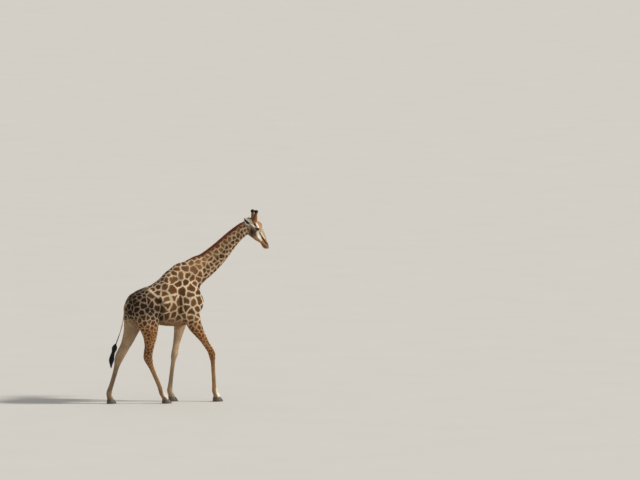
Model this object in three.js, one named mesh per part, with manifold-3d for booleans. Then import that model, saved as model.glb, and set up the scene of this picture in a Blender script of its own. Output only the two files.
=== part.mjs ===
// A walking southern giraffe, life size, as a still model standing on its four cloven feet.
// Millimetres, +Z up. The animal walks towards +X, its left side is +Y, and the soles are at Z = 0.
// Every limb is a loft: stations along its middle line, each with the reach of the flesh from that line.
// Swells then raise the bones and muscles that show, and sink the hollows between them.
import * as THREE from "three";
import { mergeVertices } from "three/addons/utils/BufferGeometryUtils.js";
import Module from "manifold-3d";

const wasm = await Module();
wasm.setup();

const GAP = 0.6; // the thin cut between two parts
const ROOM = 1.2; // how much wider a part is taken when another is cut to clear it
const SIDES = { right: -1, left: 1 }; // sign of Y on each side

// ---- Driving dimensions ----

// A station: place of the middle line (x, y, z), then the reach to the upper side, to the lower side
// and sideways.
const TRUNK = [
  [-775, 0, 1900, 40, 60, 40],
  [-742, 0, 1895, 140, 150, 118],
  [-660, 0, 1900, 238, 250, 200],
  [-540, 0, 1910, 290, 295, 246],
  [-390, 0, 1930, 333, 335, 272],
  [-200, 0, 1930, 412, 370, 306],
  [0, 0, 1935, 530, 425, 334],
  [180, 0, 1950, 660, 458, 330],
  [340, 0, 1960, 752, 468, 300],
  [500, 0, 1970, 716, 446, 252],
  [620, 0, 1970, 520, 366, 212],
  [700, 0, 1960, 330, 296, 178],
  [760, 0, 1955, 190, 214, 140],
  [800, 0, 1950, 92, 120, 90],
  [814, 0, 1945, 26, 30, 26],
];
const NECK = [
  [360, 0, 2260, 260, 220, 170],
  [480, 0, 2390, 320, 262, 190],
  [600, 0, 2495, 300, 278, 184],
  [730, 0, 2590, 256, 272, 166],
  [915, 0, 2692, 214, 238, 138],
  [1155, 0, 2888, 176, 206, 116],
  [1420, 0, 3146, 130, 164, 98],
  [1610, 0, 3298, 116, 138, 88],
  [1730, 0, 3384, 104, 132, 84],
  [1830, 0, 3440, 80, 100, 70],
];
// The legs, from shoulder or hip down. Upper is the front of the leg, lower its rear, and y is for the left side.
const FORE_FORWARD = [
  [225, 110, 2530, 40, 40, 22],
  [275, 150, 2420, 100, 100, 50],
  [390, 186, 2220, 200, 190, 92],
  [510, 216, 1990, 262, 235, 112],
  [500, 230, 1800, 200, 228, 112],
  [536, 230, 1645, 166, 166, 98],
  [590, 222, 1515, 144, 146, 84],
  [672, 216, 1385, 110, 112, 72],
  [766, 211, 1250, 82, 84, 62],
  [846, 206, 1125, 68, 70, 56],
  [915, 202, 1022, 68, 68, 58],
  [950, 200, 945, 76, 70, 63],
  [966, 197, 862, 60, 62, 54],
  [978, 194, 770, 44, 50, 41],
  [990, 190, 600, 41, 47, 36],
  [1004, 186, 400, 41, 48, 36],
  [1013, 184, 285, 46, 54, 42],
  [1022, 183, 215, 54, 62, 51],
  [1040, 182, 150, 54, 58, 49],
  [1060, 181, 95, 66, 66, 60],
  [1076, 181, 60, 50, 50, 46],
];
const FORE_BACK = [
  [205, 110, 2530, 40, 40, 22],
  [250, 150, 2420, 100, 100, 50],
  [350, 186, 2220, 200, 190, 92],
  [450, 216, 1990, 255, 225, 112],
  [450, 230, 1800, 205, 215, 112],
  [456, 230, 1645, 170, 170, 98],
  [440, 222, 1500, 130, 130, 84],
  [415, 216, 1365, 102, 100, 70],
  [388, 211, 1250, 84, 82, 62],
  [358, 206, 1125, 70, 66, 56],
  [335, 202, 1022, 68, 64, 58],
  [318, 200, 940, 76, 64, 63],
  [302, 197, 858, 60, 58, 54],
  [289, 194, 770, 44, 47, 41],
  [264, 190, 600, 41, 47, 36],
  [236, 186, 400, 41, 48, 36],
  [221, 184, 285, 46, 54, 42],
  [214, 183, 215, 55, 60, 51],
  [228, 182, 150, 56, 54, 49],
  [252, 181, 95, 66, 66, 60],
  [270, 181, 60, 50, 50, 46],
];
const HIND_FORWARD = [
  [-500, 110, 2120, 90, 90, 60],
  [-480, 165, 2030, 190, 215, 108],
  [-455, 195, 1900, 270, 275, 124],
  [-425, 215, 1760, 275, 270, 132],
  [-398, 225, 1630, 245, 238, 128],
  [-375, 222, 1500, 200, 190, 112],
  [-352, 214, 1370, 160, 155, 94],
  [-348, 206, 1250, 126, 126, 78],
  [-356, 200, 1120, 98, 104, 64],
  [-372, 196, 1010, 90, 104, 58],
  [-374, 194, 915, 84, 104, 58],
  [-346, 191, 820, 70, 82, 52],
  [-304, 188, 712, 52, 58, 44],
  [-226, 184, 540, 45, 50, 38],
  [-148, 180, 365, 44, 50, 38],
  [-112, 178, 275, 48, 55, 42],
  [-84, 177, 205, 54, 60, 49],
  [-52, 176, 145, 52, 54, 47],
  [-14, 176, 92, 60, 62, 57],
  [10, 176, 60, 46, 46, 42],
];
const HIND_BACK = [
  [-500, 110, 2120, 90, 90, 60],
  [-490, 165, 2030, 190, 205, 108],
  [-480, 195, 1900, 255, 262, 124],
  [-490, 215, 1760, 255, 252, 132],
  [-515, 225, 1630, 226, 226, 128],
  [-550, 222, 1500, 176, 186, 112],
  [-592, 214, 1385, 146, 152, 94],
  [-646, 206, 1250, 120, 128, 78],
  [-706, 200, 1130, 100, 108, 64],
  [-768, 196, 1015, 90, 104, 58],
  [-822, 194, 915, 84, 104, 58],
  [-866, 191, 815, 70, 80, 52],
  [-898, 188, 712, 52, 57, 44],
  [-950, 184, 540, 45, 50, 38],
  [-1008, 180, 365, 44, 50, 38],
  [-1040, 178, 275, 48, 55, 42],
  [-1060, 177, 205, 56, 58, 49],
  [-1058, 176, 145, 54, 52, 47],
  [-1036, 176, 92, 60, 62, 57],
  [-1016, 176, 60, 46, 46, 42],
];
const TAIL = [
  [-700, 0, 2010, 36, 36, 38],
  [-752, 4, 1965, 34, 34, 34],
  [-784, 10, 1890, 26, 26, 26],
  [-800, 18, 1780, 20, 20, 21],
  [-822, 26, 1640, 16, 16, 17],
  [-868, 34, 1450, 13, 13, 14],
  [-930, 42, 1270, 12, 12, 12],
  [-972, 46, 1160, 12, 12, 12],
];
const TAIL_TUFT = [
  [-966, 46, 1190, 16, 16, 16],
  [-980, 46, 1155, 42, 38, 38],
  [-998, 47, 1095, 58, 54, 52],
  [-1018, 48, 1015, 32, 36, 32],
  [-1040, 49, 940, 40, 46, 40],
  [-1054, 50, 870, 46, 50, 44],
  [-1062, 51, 780, 19, 24, 21],
  [-1064, 52, 690, 5, 7, 6],
];

// The head in its own frame: "along" runs from the poll to the lips, "up" from the throat to the forehead.
const HEAD_FRAME = { at: [1760, 0, 3470], faceDown: 46.9 };
// Stations: along, up, then the reach to the forehead side, to the throat side and sideways.
const HEAD = [
  [-72, 66, 18, 36, 20],
  [-48, 62, 54, 106, 58],
  [0, 55, 108, 166, 80],
  [50, 52, 136, 188, 88],
  [100, 50, 150, 195, 94],
  [150, 48, 153, 188, 98],
  [200, 45, 148, 173, 98],
  [250, 40, 142, 158, 93],
  [300, 36, 134, 145, 83],
  [350, 31, 125, 131, 72],
  [400, 27, 113, 115, 61],
  [450, 23, 96, 93, 53],
  [500, 18, 76, 78, 48],
  [550, 8, 64, 75, 46],
  [595, -4, 56, 72, 48],
  [635, -8, 43, 60, 48],
  [662, -12, 29, 45, 37],
  [681, -18, 10, 14, 12],
];
const OSSICONE = [
  [1905, 48, 3480, 54, 54, 36],
  [1914, 57, 3545, 47, 50, 33],
  [1920, 67, 3590, 38, 41, 31],
  [1923, 78, 3630, 33, 35, 29],
  [1926, 87, 3666, 34, 35, 31],
  [1927, 93, 3696, 39, 39, 35],
  [1927, 96, 3722, 31, 31, 28],
  [1927, 97, 3738, 10, 10, 10],
];

// Swells, on both sides where y is above 0: middle, spread along, up and sideways, the tilt that turns
// "along" down from +X in degrees, and the rise of the flesh there, below 0 in a hollow.
const BODY_SWELLS = [
  { at: [745, 165, 1965], spread: [110, 130, 110], tilt: 20, rise: 22 }, // point of the shoulder
  { at: [330, 180, 2430], spread: [300, 45, 120], tilt: 35, rise: 14 }, // front edge of the shoulder blade
  { at: [560, 170, 2400], spread: [220, 60, 120], tilt: 38, rise: -14 }, // hollow between it and the neck
  { at: [-360, 215, 2250], spread: [90, 70, 130], tilt: 30, rise: 20 }, // hip bone
  { at: [-205, 270, 2095], spread: [200, 42, 150], tilt: 47, rise: 16 }, // ridge from it down to the ribs
  { at: [-110, 270, 2205], spread: [130, 75, 150], tilt: 40, rise: -16 }, // hollow of the loin
  { at: [-140, 280, 1840], spread: [85, 150, 150], tilt: 0, rise: -20 }, // hollow ahead of the thigh
  { at: [-705, 110, 1990], spread: [70, 80, 90], tilt: 0, rise: 14 }, // pin bone
  { at: [1000, 130, 2870], spread: [340, 32, 110], tilt: -34.5, rise: -8 }, // groove along the neck
  { at: [230, 300, 1770], spread: [60, 170, 150], tilt: 0, rise: -14 }, // hollow behind the elbow
  { at: [380, 330, 1960], spread: [130, 160, 120], tilt: 0, rise: 14 }, // back muscle of the upper arm
];
const HEAD_SWELLS = [
  { at: [222, 0, 205], spread: [46, 70, 46], tilt: 0, rise: 55 }, // bump between the eyes
  { at: [200, 92, 112], spread: [52, 34, 40], tilt: 0, rise: 17 }, // rim over the eye
  { at: [225, 92, 38], spread: [60, 20, 40], tilt: 0, rise: 10 }, // rim under it
  { at: [118, 90, 92], spread: [44, 40, 50], tilt: 0, rise: -10 }, // hollow of the temple
  { at: [185, 80, -50], spread: [80, 60, 60], tilt: 0, rise: 11 }, // cheek muscle
  { at: [380, 66, 10], spread: [90, 34, 40], tilt: 0, rise: -9 }, // hollow side of the face
  { at: [592, 40, 24], spread: [36, 26, 34], tilt: 0, rise: 9 }, // nostril
  { at: [640, 0, 8], spread: [34, 36, 60], tilt: 0, rise: 6 }, // upper lip
  { at: [72, 58, 195], spread: [50, 60, 40], tilt: 0, rise: 18 }, // root of the horn
];

const EYE = { at: [221, 93, 74], radius: 26 }; // in the head's frame
// Both ears swivel: the right one is swept back, the left one is held out to the side and a little forwards.
// The mouth of the cup faces the way given.
const EARS = {
  right: { root: [1838, -78, 3442], tip: [1638, -186, 3594], mouth: [-0.2, -0.9, -0.1] },
  left: { root: [1846, 78, 3448], tip: [1908, 286, 3566], mouth: [0.75, 0.2, -0.5] },
};
const EAR = { halfWidth: 65, depth: 30, wall: 7 };
const MANE = { from: 0.28, to: 0.975, sunk: 30, halfWidth: 15, steps: 18 };
const MANE_HEIGHT = [18, 32, 42, 48, 48, 44, 38, 26]; // evenly spaced from the withers to the poll

// Flat soles: place of each foot on the floor, and the size of one claw.
const FEET = {
  fore_right: { at: [1085, -181], length: 200, width: 78, height: 88 },
  fore_left: { at: [277, 181], length: 200, width: 78, height: 88 },
  hind_right: { at: [14, -176], length: 188, width: 73, height: 84 },
  hind_left: { at: [-1008, 176], length: 188, width: 73, height: 84 },
};
const CLEFT = 7; // between the two claws of a foot

// Where the whole body is parted: a point of the cut, and the direction of its far side.
const NECK_CUT = { at: [800, 0, 2610], towards: [0.79, 0, 0.62] };
const HEAD_CUT = { at: [1752, 0, 3395], towards: [0.96, 0, 0.28] };
const LIMBS = {
  fore_right: { stations: FORE_FORWARD, side: "right", top: 1560, knee: 945, from: 300, to: 1300 },
  fore_left: { stations: FORE_BACK, side: "left", top: 1560, knee: 940, from: 100, to: 1300 },
  hind_right: { stations: HIND_FORWARD, side: "right", top: 1510, knee: 905, from: -700, to: 80 },
  hind_left: { stations: HIND_BACK, side: "left", top: 1510, knee: 905, from: -1300, to: -100 },
};

const coat = {
  patches: new THREE.MeshStandardMaterial({ color: 0xa87f4c, roughness: 0.85, metalness: 0 }),
  mane: new THREE.MeshStandardMaterial({ color: 0x6b3d1e, roughness: 0.9, metalness: 0 }),
  black: new THREE.MeshStandardMaterial({ color: 0x17120f, roughness: 0.8, metalness: 0 }),
  hoof: new THREE.MeshStandardMaterial({ color: 0x4d4338, roughness: 0.6, metalness: 0 }),
  eye: new THREE.MeshStandardMaterial({ color: 0x1c0f08, roughness: 0.08, metalness: 0 }),
};

// ---- Lofts and solids ----

// The stations as two smooth curves over the same parameter, with every reach widened by grow
// and both ends drawn out by as much.
function line(stations, grow = 0) {
  const middle = stations.map(([x, y, z]) => new THREE.Vector3(x, y, z));
  for (const [end, next] of [[0, 1], [middle.length - 1, middle.length - 2]]) {
    const out = middle[end].clone().sub(middle[next]).setLength(1);
    middle[end].addScaledVector(out, grow);
  }
  const reach = stations.map(([, , , a, b, c]) => new THREE.Vector3(a + grow, b + grow, c + grow));
  return {
    middle: new THREE.CatmullRomCurve3(middle, false, "catmullrom", 0.5),
    reach: new THREE.CatmullRomCurve3(reach, false, "catmullrom", 0.5),
  };
}

// Sideways (towards +Y) and upper directions of the section at t, both square to the line.
function section(curves, t) {
  const along = curves.middle.getTangent(t);
  const sideways = new THREE.Vector3(0, 1, 0).addScaledVector(along, -along.y).normalize();
  const upper = new THREE.Vector3().crossVectors(along, sideways);
  return { centre: curves.middle.getPoint(t), reach: curves.reach.getPoint(t), sideways, upper };
}

// How far the swells raise the flesh at a point.
function rise(swells, point) {
  let total = 0;
  for (const { at, spread, tilt, rise: height } of swells) {
    const turn = THREE.MathUtils.degToRad(tilt);
    const [dx, dz] = [point.x - at[0], point.z - at[2]];
    const along = dx * Math.cos(turn) - dz * Math.sin(turn);
    const up = dx * Math.sin(turn) + dz * Math.cos(turn);
    const sideways = at[1] > 0 ? Math.abs(point.y) - at[1] : point.y;
    const distance = (along / spread[0]) ** 2 + (up / spread[1]) ** 2 + (sideways / spread[2]) ** 2;
    total += height * Math.exp(-distance);
  }
  return total;
}

// A closed skin over rings of points that all have the same count: side walls and a fan at each end.
function skinOver(rings) {
  const count = rings[0].length;
  const ends = [rings[0], rings.at(-1)].map((ring) =>
    ring.reduce((sum, p) => sum.add(p), new THREE.Vector3()).divideScalar(count),
  );
  const points = [...rings.flat(), ...ends];
  const first = points.length - 2;
  const last = (rings.length - 1) * count;
  const index = [];
  for (let i = 0; i < count; i++) {
    const j = (i + 1) % count;
    for (let r = 0; r + 1 < rings.length; r++) {
      const [here, above] = [r * count, (r + 1) * count];
      index.push(here + i, here + j, above + j, here + i, above + j, above + i);
    }
    index.push(first, j, i, first + 1, last + i, last + j);
  }
  return new THREE.BufferGeometry().setFromPoints(points).setIndex(index);
}

// A limb's loft: an oval round the line, whose upper and lower halves have their own reach.
// full(t) above 1 makes the oval squarer there, below 1 more pointed.
function loft(stations, { rings, around, grow = 0, full = () => 1, swells = [] }) {
  const curves = line(stations, grow);
  const made = [];
  for (let r = 0; r <= rings; r++) {
    const t = r / rings;
    const { centre, reach, sideways, upper } = section(curves, t);
    const power = 1 / full(t);
    const ring = [];
    for (let i = 0; i < around; i++) {
      const angle = (2 * Math.PI * i) / around;
      const [c, s] = [Math.cos(angle), Math.sin(angle)];
      const up = (s > 0 ? reach.x : reach.y) * Math.sign(s) * Math.abs(s) ** power;
      const out = reach.z * Math.sign(c) * Math.abs(c) ** power;
      const arm = new THREE.Vector3().addScaledVector(sideways, out).addScaledVector(upper, up);
      const point = centre.clone().add(arm);
      ring.push(point.addScaledVector(arm.normalize(), rise(swells, point)));
    }
    made.push(ring);
  }
  return skinOver(made);
}

// A closed body from a geometry, with its faces turned outwards.
function solid(geometry) {
  const bare = geometry.clone();
  for (const name of Object.keys(bare.attributes)) if (name !== "position") bare.deleteAttribute(name);
  const merged = mergeVertices(bare, 1e-3);
  const triVerts = new Uint32Array(merged.index.array);
  const vertProperties = new Float32Array(merged.attributes.position.array);
  const make = () => new wasm.Manifold(new wasm.Mesh({ numProp: 3, vertProperties, triVerts }));
  if (make().volume() > 0) return make();
  for (let i = 0; i < triVerts.length; i += 3)
    [triVerts[i + 1], triVerts[i + 2]] = [triVerts[i + 2], triVerts[i + 1]];
  return make();
}

function geometryOf(made) {
  const mesh = made.getMesh();
  const position = new Float32Array(mesh.numVert * 3);
  for (let i = 0; i < mesh.numVert; i++)
    position.set(mesh.vertProperties.subarray(i * mesh.numProp, i * mesh.numProp + 3), i * 3);
  return new THREE.BufferGeometry()
    .setAttribute("position", new THREE.BufferAttribute(position, 3))
    .setIndex(new THREE.BufferAttribute(new Uint32Array(mesh.triVerts), 1));
}

const union = (solids) => solids.reduce((a, b) => a.add(b));
// A cut can leave a crumb beside the part: the largest piece is the part.
const largest = (made) => made.decompose().reduce((a, b) => (b.volume() > a.volume() ? b : a));

function block([x0, y0, z0], [x1, y1, z1]) {
  const box = new THREE.BoxGeometry(x1 - x0, y1 - y0, z1 - z0);
  return solid(box.translate((x0 + x1) / 2, (y0 + y1) / 2, (z0 + z1) / 2));
}

// A big block whose flat face passes through the cut, on the far side of it.
function beyond({ at, towards }, gap) {
  const size = 4000;
  const direction = new THREE.Vector3(...towards).normalize();
  const turn = new THREE.Quaternion().setFromUnitVectors(new THREE.Vector3(0, 0, 1), direction);
  const box = new THREE.BoxGeometry(size, size, size).translate(0, 0, size / 2 + gap);
  return solid(box.applyQuaternion(turn).translate(...at));
}

// ---- Flesh ----

function trunkAndNeck(grow) {
  const narrowWithers = (t) => 0.97 - 0.2 * Math.exp(-(((t - 0.6) / 0.13) ** 2));
  const swells = BODY_SWELLS;
  return union([
    solid(loft(TRUNK, { rings: 19, around: 20, grow, full: narrowWithers, swells })),
    solid(loft(NECK, { rings: 15, around: 18, grow, swells })),
  ]);
}

function legSolid(name, grow) {
  const { stations, side } = LIMBS[name];
  const placed = stations.map(([x, y, ...rest]) => [x, y * SIDES[side], ...rest]);
  return solid(loft(placed, { rings: 26, around: 12, grow, swells: BODY_SWELLS }));
}

// The head is made along +X with its forehead up, then laid into its place on the neck.
function setOnNeck(geometry) {
  const { at, faceDown } = HEAD_FRAME;
  return geometry.rotateY(THREE.MathUtils.degToRad(faceDown)).translate(...at);
}

function headSolid(grow) {
  const stations = HEAD.map(([along, up, ...reach]) => [along, 0, up, ...reach]);
  return solid(
    setOnNeck(loft(stations, { rings: 25, around: 20, grow, full: () => 0.94, swells: HEAD_SWELLS })),
  );
}

function eyeball(side, radius) {
  const [along, out, up] = EYE.at;
  return solid(
    setOnNeck(new THREE.SphereGeometry(radius, 12, 8).translate(along, out * SIDES[side], up)),
  );
}

// ---- Appendages ----

// One claw of a cloven foot: flat sole, upright cleft side, rounded wall that leans in towards the coronet.
function claw({ length, width, height }, outwards) {
  const levels = [
    { z: 0, long: 1, wide: 1, back: 0 },
    { z: 0.25, long: 0.98, wide: 0.98, back: 2 },
    { z: 0.65, long: 0.85, wide: 0.9, back: 12 },
    { z: 1, long: 0.7, wide: 0.78, back: 22 },
  ];
  const around = 10;
  const rings = levels.map(({ z, long, wide, back }) => {
    const ring = [];
    for (let i = 0; i < around; i++) {
      const angle = (Math.PI * i) / (around - 1); // from the heel round the outer wall to the toe
      const forward = -Math.cos(angle);
      const out = Math.max(Math.sin(angle), 0) ** 0.6 * width * wide * (1 - 0.12 * forward);
      const x = (forward * length * long) / 2 - back;
      ring.push(new THREE.Vector3(x, outwards * (CLEFT / 2 + out), z * height));
    }
    return ring;
  });
  return solid(skinOver(rings));
}

// A cupped leaf: an outer back and an inner hollow that meet in a thin rim.
function earSolid({ root, tip, mouth }) {
  const base = new THREE.Vector3(...root);
  const along = new THREE.Vector3(...tip).sub(base);
  const length = along.length();
  along.normalize();
  const open = new THREE.Vector3(...mouth);
  open.addScaledVector(along, -open.dot(along)).normalize();
  const across = new THREE.Vector3().crossVectors(along, open);
  const steps = 10;
  const around = 7;
  const rings = [];
  for (let r = 0; r <= steps; r++) {
    const t = r / steps;
    const leaf = Math.sin(Math.PI * (0.14 + 0.86 * t)) ** 0.75;
    const half = EAR.halfWidth * Math.max(leaf, 0.07);
    const depth = EAR.depth * Math.max(1 - t ** 3, 0.1) * Math.max(leaf, 0.2);
    const wall = Math.min(EAR.wall, half * 0.6);
    const middle = base.clone().addScaledVector(along, length * t);
    const put = (u, v) => middle.clone().addScaledVector(across, u).addScaledVector(open, v);
    const ring = [];
    for (let i = 0; i < around; i++) {
      const angle = (Math.PI * i) / (around - 1); // round the back of the ear
      ring.push(put(Math.cos(angle) * half, -Math.sin(angle) * depth));
    }
    for (let i = around - 2; i > 0; i--) {
      const angle = (Math.PI * i) / (around - 1); // and back through the hollow
      const hollow = Math.max(depth - wall, 0.1 * depth);
      ring.push(put(Math.cos(angle) * (half - wall), -Math.sin(angle) * hollow));
    }
    rings.push(ring);
  }
  return solid(skinOver(rings));
}

function ossicone(side) {
  const placed = OSSICONE.map(([x, y, ...rest]) => [x, y * SIDES[side], ...rest]);
  return solid(loft(placed, { rings: 12, around: 10 }));
}

// The upright mane follows the crest of the neck from the withers up to the poll.
function maneSolid() {
  const curves = line(NECK);
  const heights = new THREE.SplineCurve(MANE_HEIGHT.map((height, i) => new THREE.Vector2(i, height)));
  const rings = [];
  for (let r = 0; r <= MANE.steps; r++) {
    const share = r / MANE.steps;
    const { centre, reach, upper, sideways } = section(curves, MANE.from + (MANE.to - MANE.from) * share);
    const height = heights.getPoint(share).y;
    const crest = centre.clone().addScaledVector(upper, reach.x);
    const outline = [
      [-1, -MANE.sunk],
      [1, -MANE.sunk],
      [0.9, height * 0.6],
      [0.3, height],
      [-0.3, height],
      [-0.9, height * 0.6],
    ];
    const put = ([u, v]) =>
      crest.clone().addScaledVector(sideways, u * MANE.halfWidth).addScaledVector(upper, v);
    rings.push(outline.map(put));
  }
  return solid(skinOver(rings));
}

// ---- The animal, parted ----

const nodes = new Map(); // name: [solid, material]
const keep = (name, made, material) => nodes.set(name, [largest(made), material]);

const legNames = Object.keys(LIMBS);
const widerBody = trunkAndNeck(ROOM).add(headSolid(ROOM));
const widerLegs = union(legNames.map((name) => legSolid(name, ROOM)));
const whole = union([trunkAndNeck(0), headSolid(0), ...legNames.map((name) => legSolid(name, 0))]);

// The upright column of space that each leg is cut out of.
function column(name, gap) {
  const { side, top, from, to } = LIMBS[name];
  const [inner, outer] = [4 - gap, 600 + gap];
  const [near, far] = side === "left" ? [inner, outer] : [-outer, -inner];
  return block([from - gap, near, -50], [to + gap, far, top + gap]);
}

const legRoom = union(legNames.map((name) => column(name, GAP))).intersect(widerLegs);
keep("trunk", whole.subtract(beyond(NECK_CUT, 0)).subtract(legRoom), coat.patches);
const neckAndHead = whole.intersect(beyond(NECK_CUT, GAP));
keep("neck", neckAndHead.subtract(beyond(HEAD_CUT, 0)), coat.patches);
const sockets = union(Object.keys(SIDES).map((side) => eyeball(side, EYE.radius + ROOM)));
keep("head", neckAndHead.intersect(beyond(HEAD_CUT, GAP)).subtract(sockets), coat.patches);

for (const name of legNames) {
  const { knee, side } = LIMBS[name];
  const { at, ...size } = FEET[name];
  const leg = legSolid(name, 0).intersect(column(name, 0));
  const between = (low, high) => leg.intersect(block([-2000, -900, low + GAP], [2000, 900, high]));
  keep(`${name}_upper_leg`, between(knee, 2000), coat.patches);
  keep(`${name}_lower_leg`, between(size.height, knee), coat.patches);
  for (const [which, outwards] of Object.entries({ outer: 1, inner: -1 })) {
    const geometry = geometryOf(claw(size, outwards * SIDES[side]));
    keep(`${name}_hoof_${which}`, solid(geometry.translate(...at, 0)), coat.hoof);
  }
}

for (const side of Object.keys(SIDES)) {
  keep(`eye_${side}`, eyeball(side, EYE.radius), coat.eye);
  keep(`ear_${side}`, earSolid(EARS[side]).subtract(widerBody), coat.patches);
  keep(`ossicone_${side}`, ossicone(side).subtract(widerBody), coat.black);
}
keep("mane", maneSolid().subtract(widerBody), coat.mane);
const tailSolid = (grow) => solid(loft(TAIL, { rings: 13, around: 8, grow }));
keep("tail", tailSolid(0).subtract(widerBody).subtract(widerLegs), coat.patches);
const tuft = solid(loft(TAIL_TUFT, { rings: 11, around: 8 }));
keep("tail_tuft", tuft.subtract(tailSolid(ROOM)), coat.black);

const giraffe = new THREE.Group();
const pose = new THREE.Group();
giraffe.add(pose);
for (const [name, [made, material]] of nodes) {
  const mesh = new THREE.Mesh(geometryOf(made), material);
  mesh.name = name;
  pose.add(mesh);
}

// The frame's origin is on the floor, under the middle of the whole animal's box.
const box = new THREE.Box3().setFromObject(pose);
pose.position.set(-(box.min.x + box.max.x) / 2, -(box.min.y + box.max.y) / 2, -box.min.z);

export default giraffe;
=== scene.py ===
"""The looks of a walking southern giraffe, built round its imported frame.

One skin stands for all the flesh. Over it lie the short coat, the mane, the tail's tuft and the hair of the
ears, horns and eyes, as solid strands. Everything is in metres in the frame's own axes: the animal walks
towards +X, its left side is +Y, and the soles are at Z = 0.
"""

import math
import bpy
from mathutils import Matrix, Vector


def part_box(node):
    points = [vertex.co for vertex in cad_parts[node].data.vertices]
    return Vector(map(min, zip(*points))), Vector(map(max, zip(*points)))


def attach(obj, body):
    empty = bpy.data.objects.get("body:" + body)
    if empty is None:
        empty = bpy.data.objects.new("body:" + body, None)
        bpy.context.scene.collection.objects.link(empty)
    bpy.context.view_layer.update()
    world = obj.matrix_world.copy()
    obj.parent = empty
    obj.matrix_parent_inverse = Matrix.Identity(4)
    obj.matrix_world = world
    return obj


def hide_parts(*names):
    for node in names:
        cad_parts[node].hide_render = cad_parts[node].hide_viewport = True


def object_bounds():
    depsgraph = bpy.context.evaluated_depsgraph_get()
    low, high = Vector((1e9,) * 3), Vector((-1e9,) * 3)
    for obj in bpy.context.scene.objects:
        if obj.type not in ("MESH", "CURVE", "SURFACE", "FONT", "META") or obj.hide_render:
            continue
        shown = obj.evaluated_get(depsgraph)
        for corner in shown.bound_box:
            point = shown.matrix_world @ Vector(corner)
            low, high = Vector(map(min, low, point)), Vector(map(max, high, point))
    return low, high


bl_info = {
    "name": "Walking Giraffe",
    "version": (1, 0, 0),
    "blender": (4, 5, 0),
    "location": "3D View > Sidebar > Giraffe",
    "description": "Skin, coat, mane, tail, horns, eyes and hooves of a life-size walking giraffe",
    "category": "Add Mesh",
}

import bmesh
import bpy
import numpy as np
from bpy.props import FloatProperty, FloatVectorProperty, IntProperty, PointerProperty
from mathutils import Vector, kdtree, noise

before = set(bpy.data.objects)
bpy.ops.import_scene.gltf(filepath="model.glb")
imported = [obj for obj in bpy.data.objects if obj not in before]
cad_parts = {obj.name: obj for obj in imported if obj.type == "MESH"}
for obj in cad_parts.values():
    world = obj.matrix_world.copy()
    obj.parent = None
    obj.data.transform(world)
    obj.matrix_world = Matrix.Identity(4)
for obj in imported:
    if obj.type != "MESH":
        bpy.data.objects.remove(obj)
CAD_BOX = [list(corner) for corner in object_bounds()]
noise.seed_set(7)  # otherwise its vectors follow the clock

# ---- The animal's measures, as the frame was made ----
# A station: place of the middle line (x, y, z), then the reach of the flesh to the upper side, to the lower
# side and sideways. The head's stations are in its own frame: x runs from the poll to the lips, z from the
# throat to the forehead. The upper side of a leg is its front.
TRUNK = (
    (-0.775, 0, 1.9, 0.04, 0.06, 0.04),
    (-0.742, 0, 1.895, 0.14, 0.15, 0.118),
    (-0.66, 0, 1.9, 0.238, 0.25, 0.2),
    (-0.54, 0, 1.91, 0.29, 0.295, 0.246),
    (-0.39, 0, 1.93, 0.333, 0.335, 0.272),
    (-0.2, 0, 1.93, 0.412, 0.37, 0.306),
    (0, 0, 1.935, 0.53, 0.425, 0.334),
    (0.18, 0, 1.95, 0.66, 0.458, 0.33),
    (0.34, 0, 1.96, 0.752, 0.468, 0.3),
    (0.5, 0, 1.97, 0.716, 0.446, 0.252),
    (0.62, 0, 1.97, 0.52, 0.366, 0.212),
    (0.7, 0, 1.96, 0.33, 0.296, 0.178),
    (0.76, 0, 1.955, 0.19, 0.214, 0.14),
    (0.8, 0, 1.95, 0.092, 0.12, 0.09),
    (0.814, 0, 1.945, 0.026, 0.03, 0.026),
)
NECK = (
    (0.36, 0, 2.26, 0.26, 0.22, 0.17),
    (0.48, 0, 2.39, 0.32, 0.262, 0.19),
    (0.6, 0, 2.495, 0.3, 0.278, 0.184),
    (0.73, 0, 2.59, 0.256, 0.272, 0.166),
    (0.915, 0, 2.692, 0.214, 0.238, 0.138),
    (1.155, 0, 2.888, 0.176, 0.206, 0.116),
    (1.42, 0, 3.146, 0.13, 0.164, 0.098),
    (1.61, 0, 3.298, 0.116, 0.138, 0.088),
    (1.73, 0, 3.384, 0.104, 0.132, 0.084),
    (1.83, 0, 3.44, 0.08, 0.1, 0.07),
)
FORE_FORWARD = (
    (0.225, 0.11, 2.53, 0.04, 0.04, 0.022),
    (0.275, 0.15, 2.42, 0.1, 0.1, 0.05),
    (0.39, 0.186, 2.22, 0.2, 0.19, 0.092),
    (0.51, 0.216, 1.99, 0.262, 0.235, 0.112),
    (0.5, 0.23, 1.8, 0.2, 0.228, 0.112),
    (0.536, 0.23, 1.645, 0.166, 0.166, 0.098),
    (0.59, 0.222, 1.515, 0.144, 0.146, 0.084),
    (0.672, 0.216, 1.385, 0.11, 0.112, 0.072),
    (0.766, 0.211, 1.25, 0.082, 0.084, 0.062),
    (0.846, 0.206, 1.125, 0.068, 0.07, 0.056),
    (0.915, 0.202, 1.022, 0.068, 0.068, 0.058),
    (0.95, 0.2, 0.945, 0.076, 0.07, 0.063),
    (0.966, 0.197, 0.862, 0.06, 0.062, 0.054),
    (0.978, 0.194, 0.77, 0.044, 0.05, 0.041),
    (0.99, 0.19, 0.6, 0.041, 0.047, 0.036),
    (1.004, 0.186, 0.4, 0.041, 0.048, 0.036),
    (1.013, 0.184, 0.285, 0.046, 0.054, 0.042),
    (1.022, 0.183, 0.215, 0.054, 0.062, 0.051),
    (1.04, 0.182, 0.15, 0.054, 0.058, 0.049),
    (1.06, 0.181, 0.095, 0.066, 0.066, 0.06),
    (1.076, 0.181, 0.06, 0.05, 0.05, 0.046),
)
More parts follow.
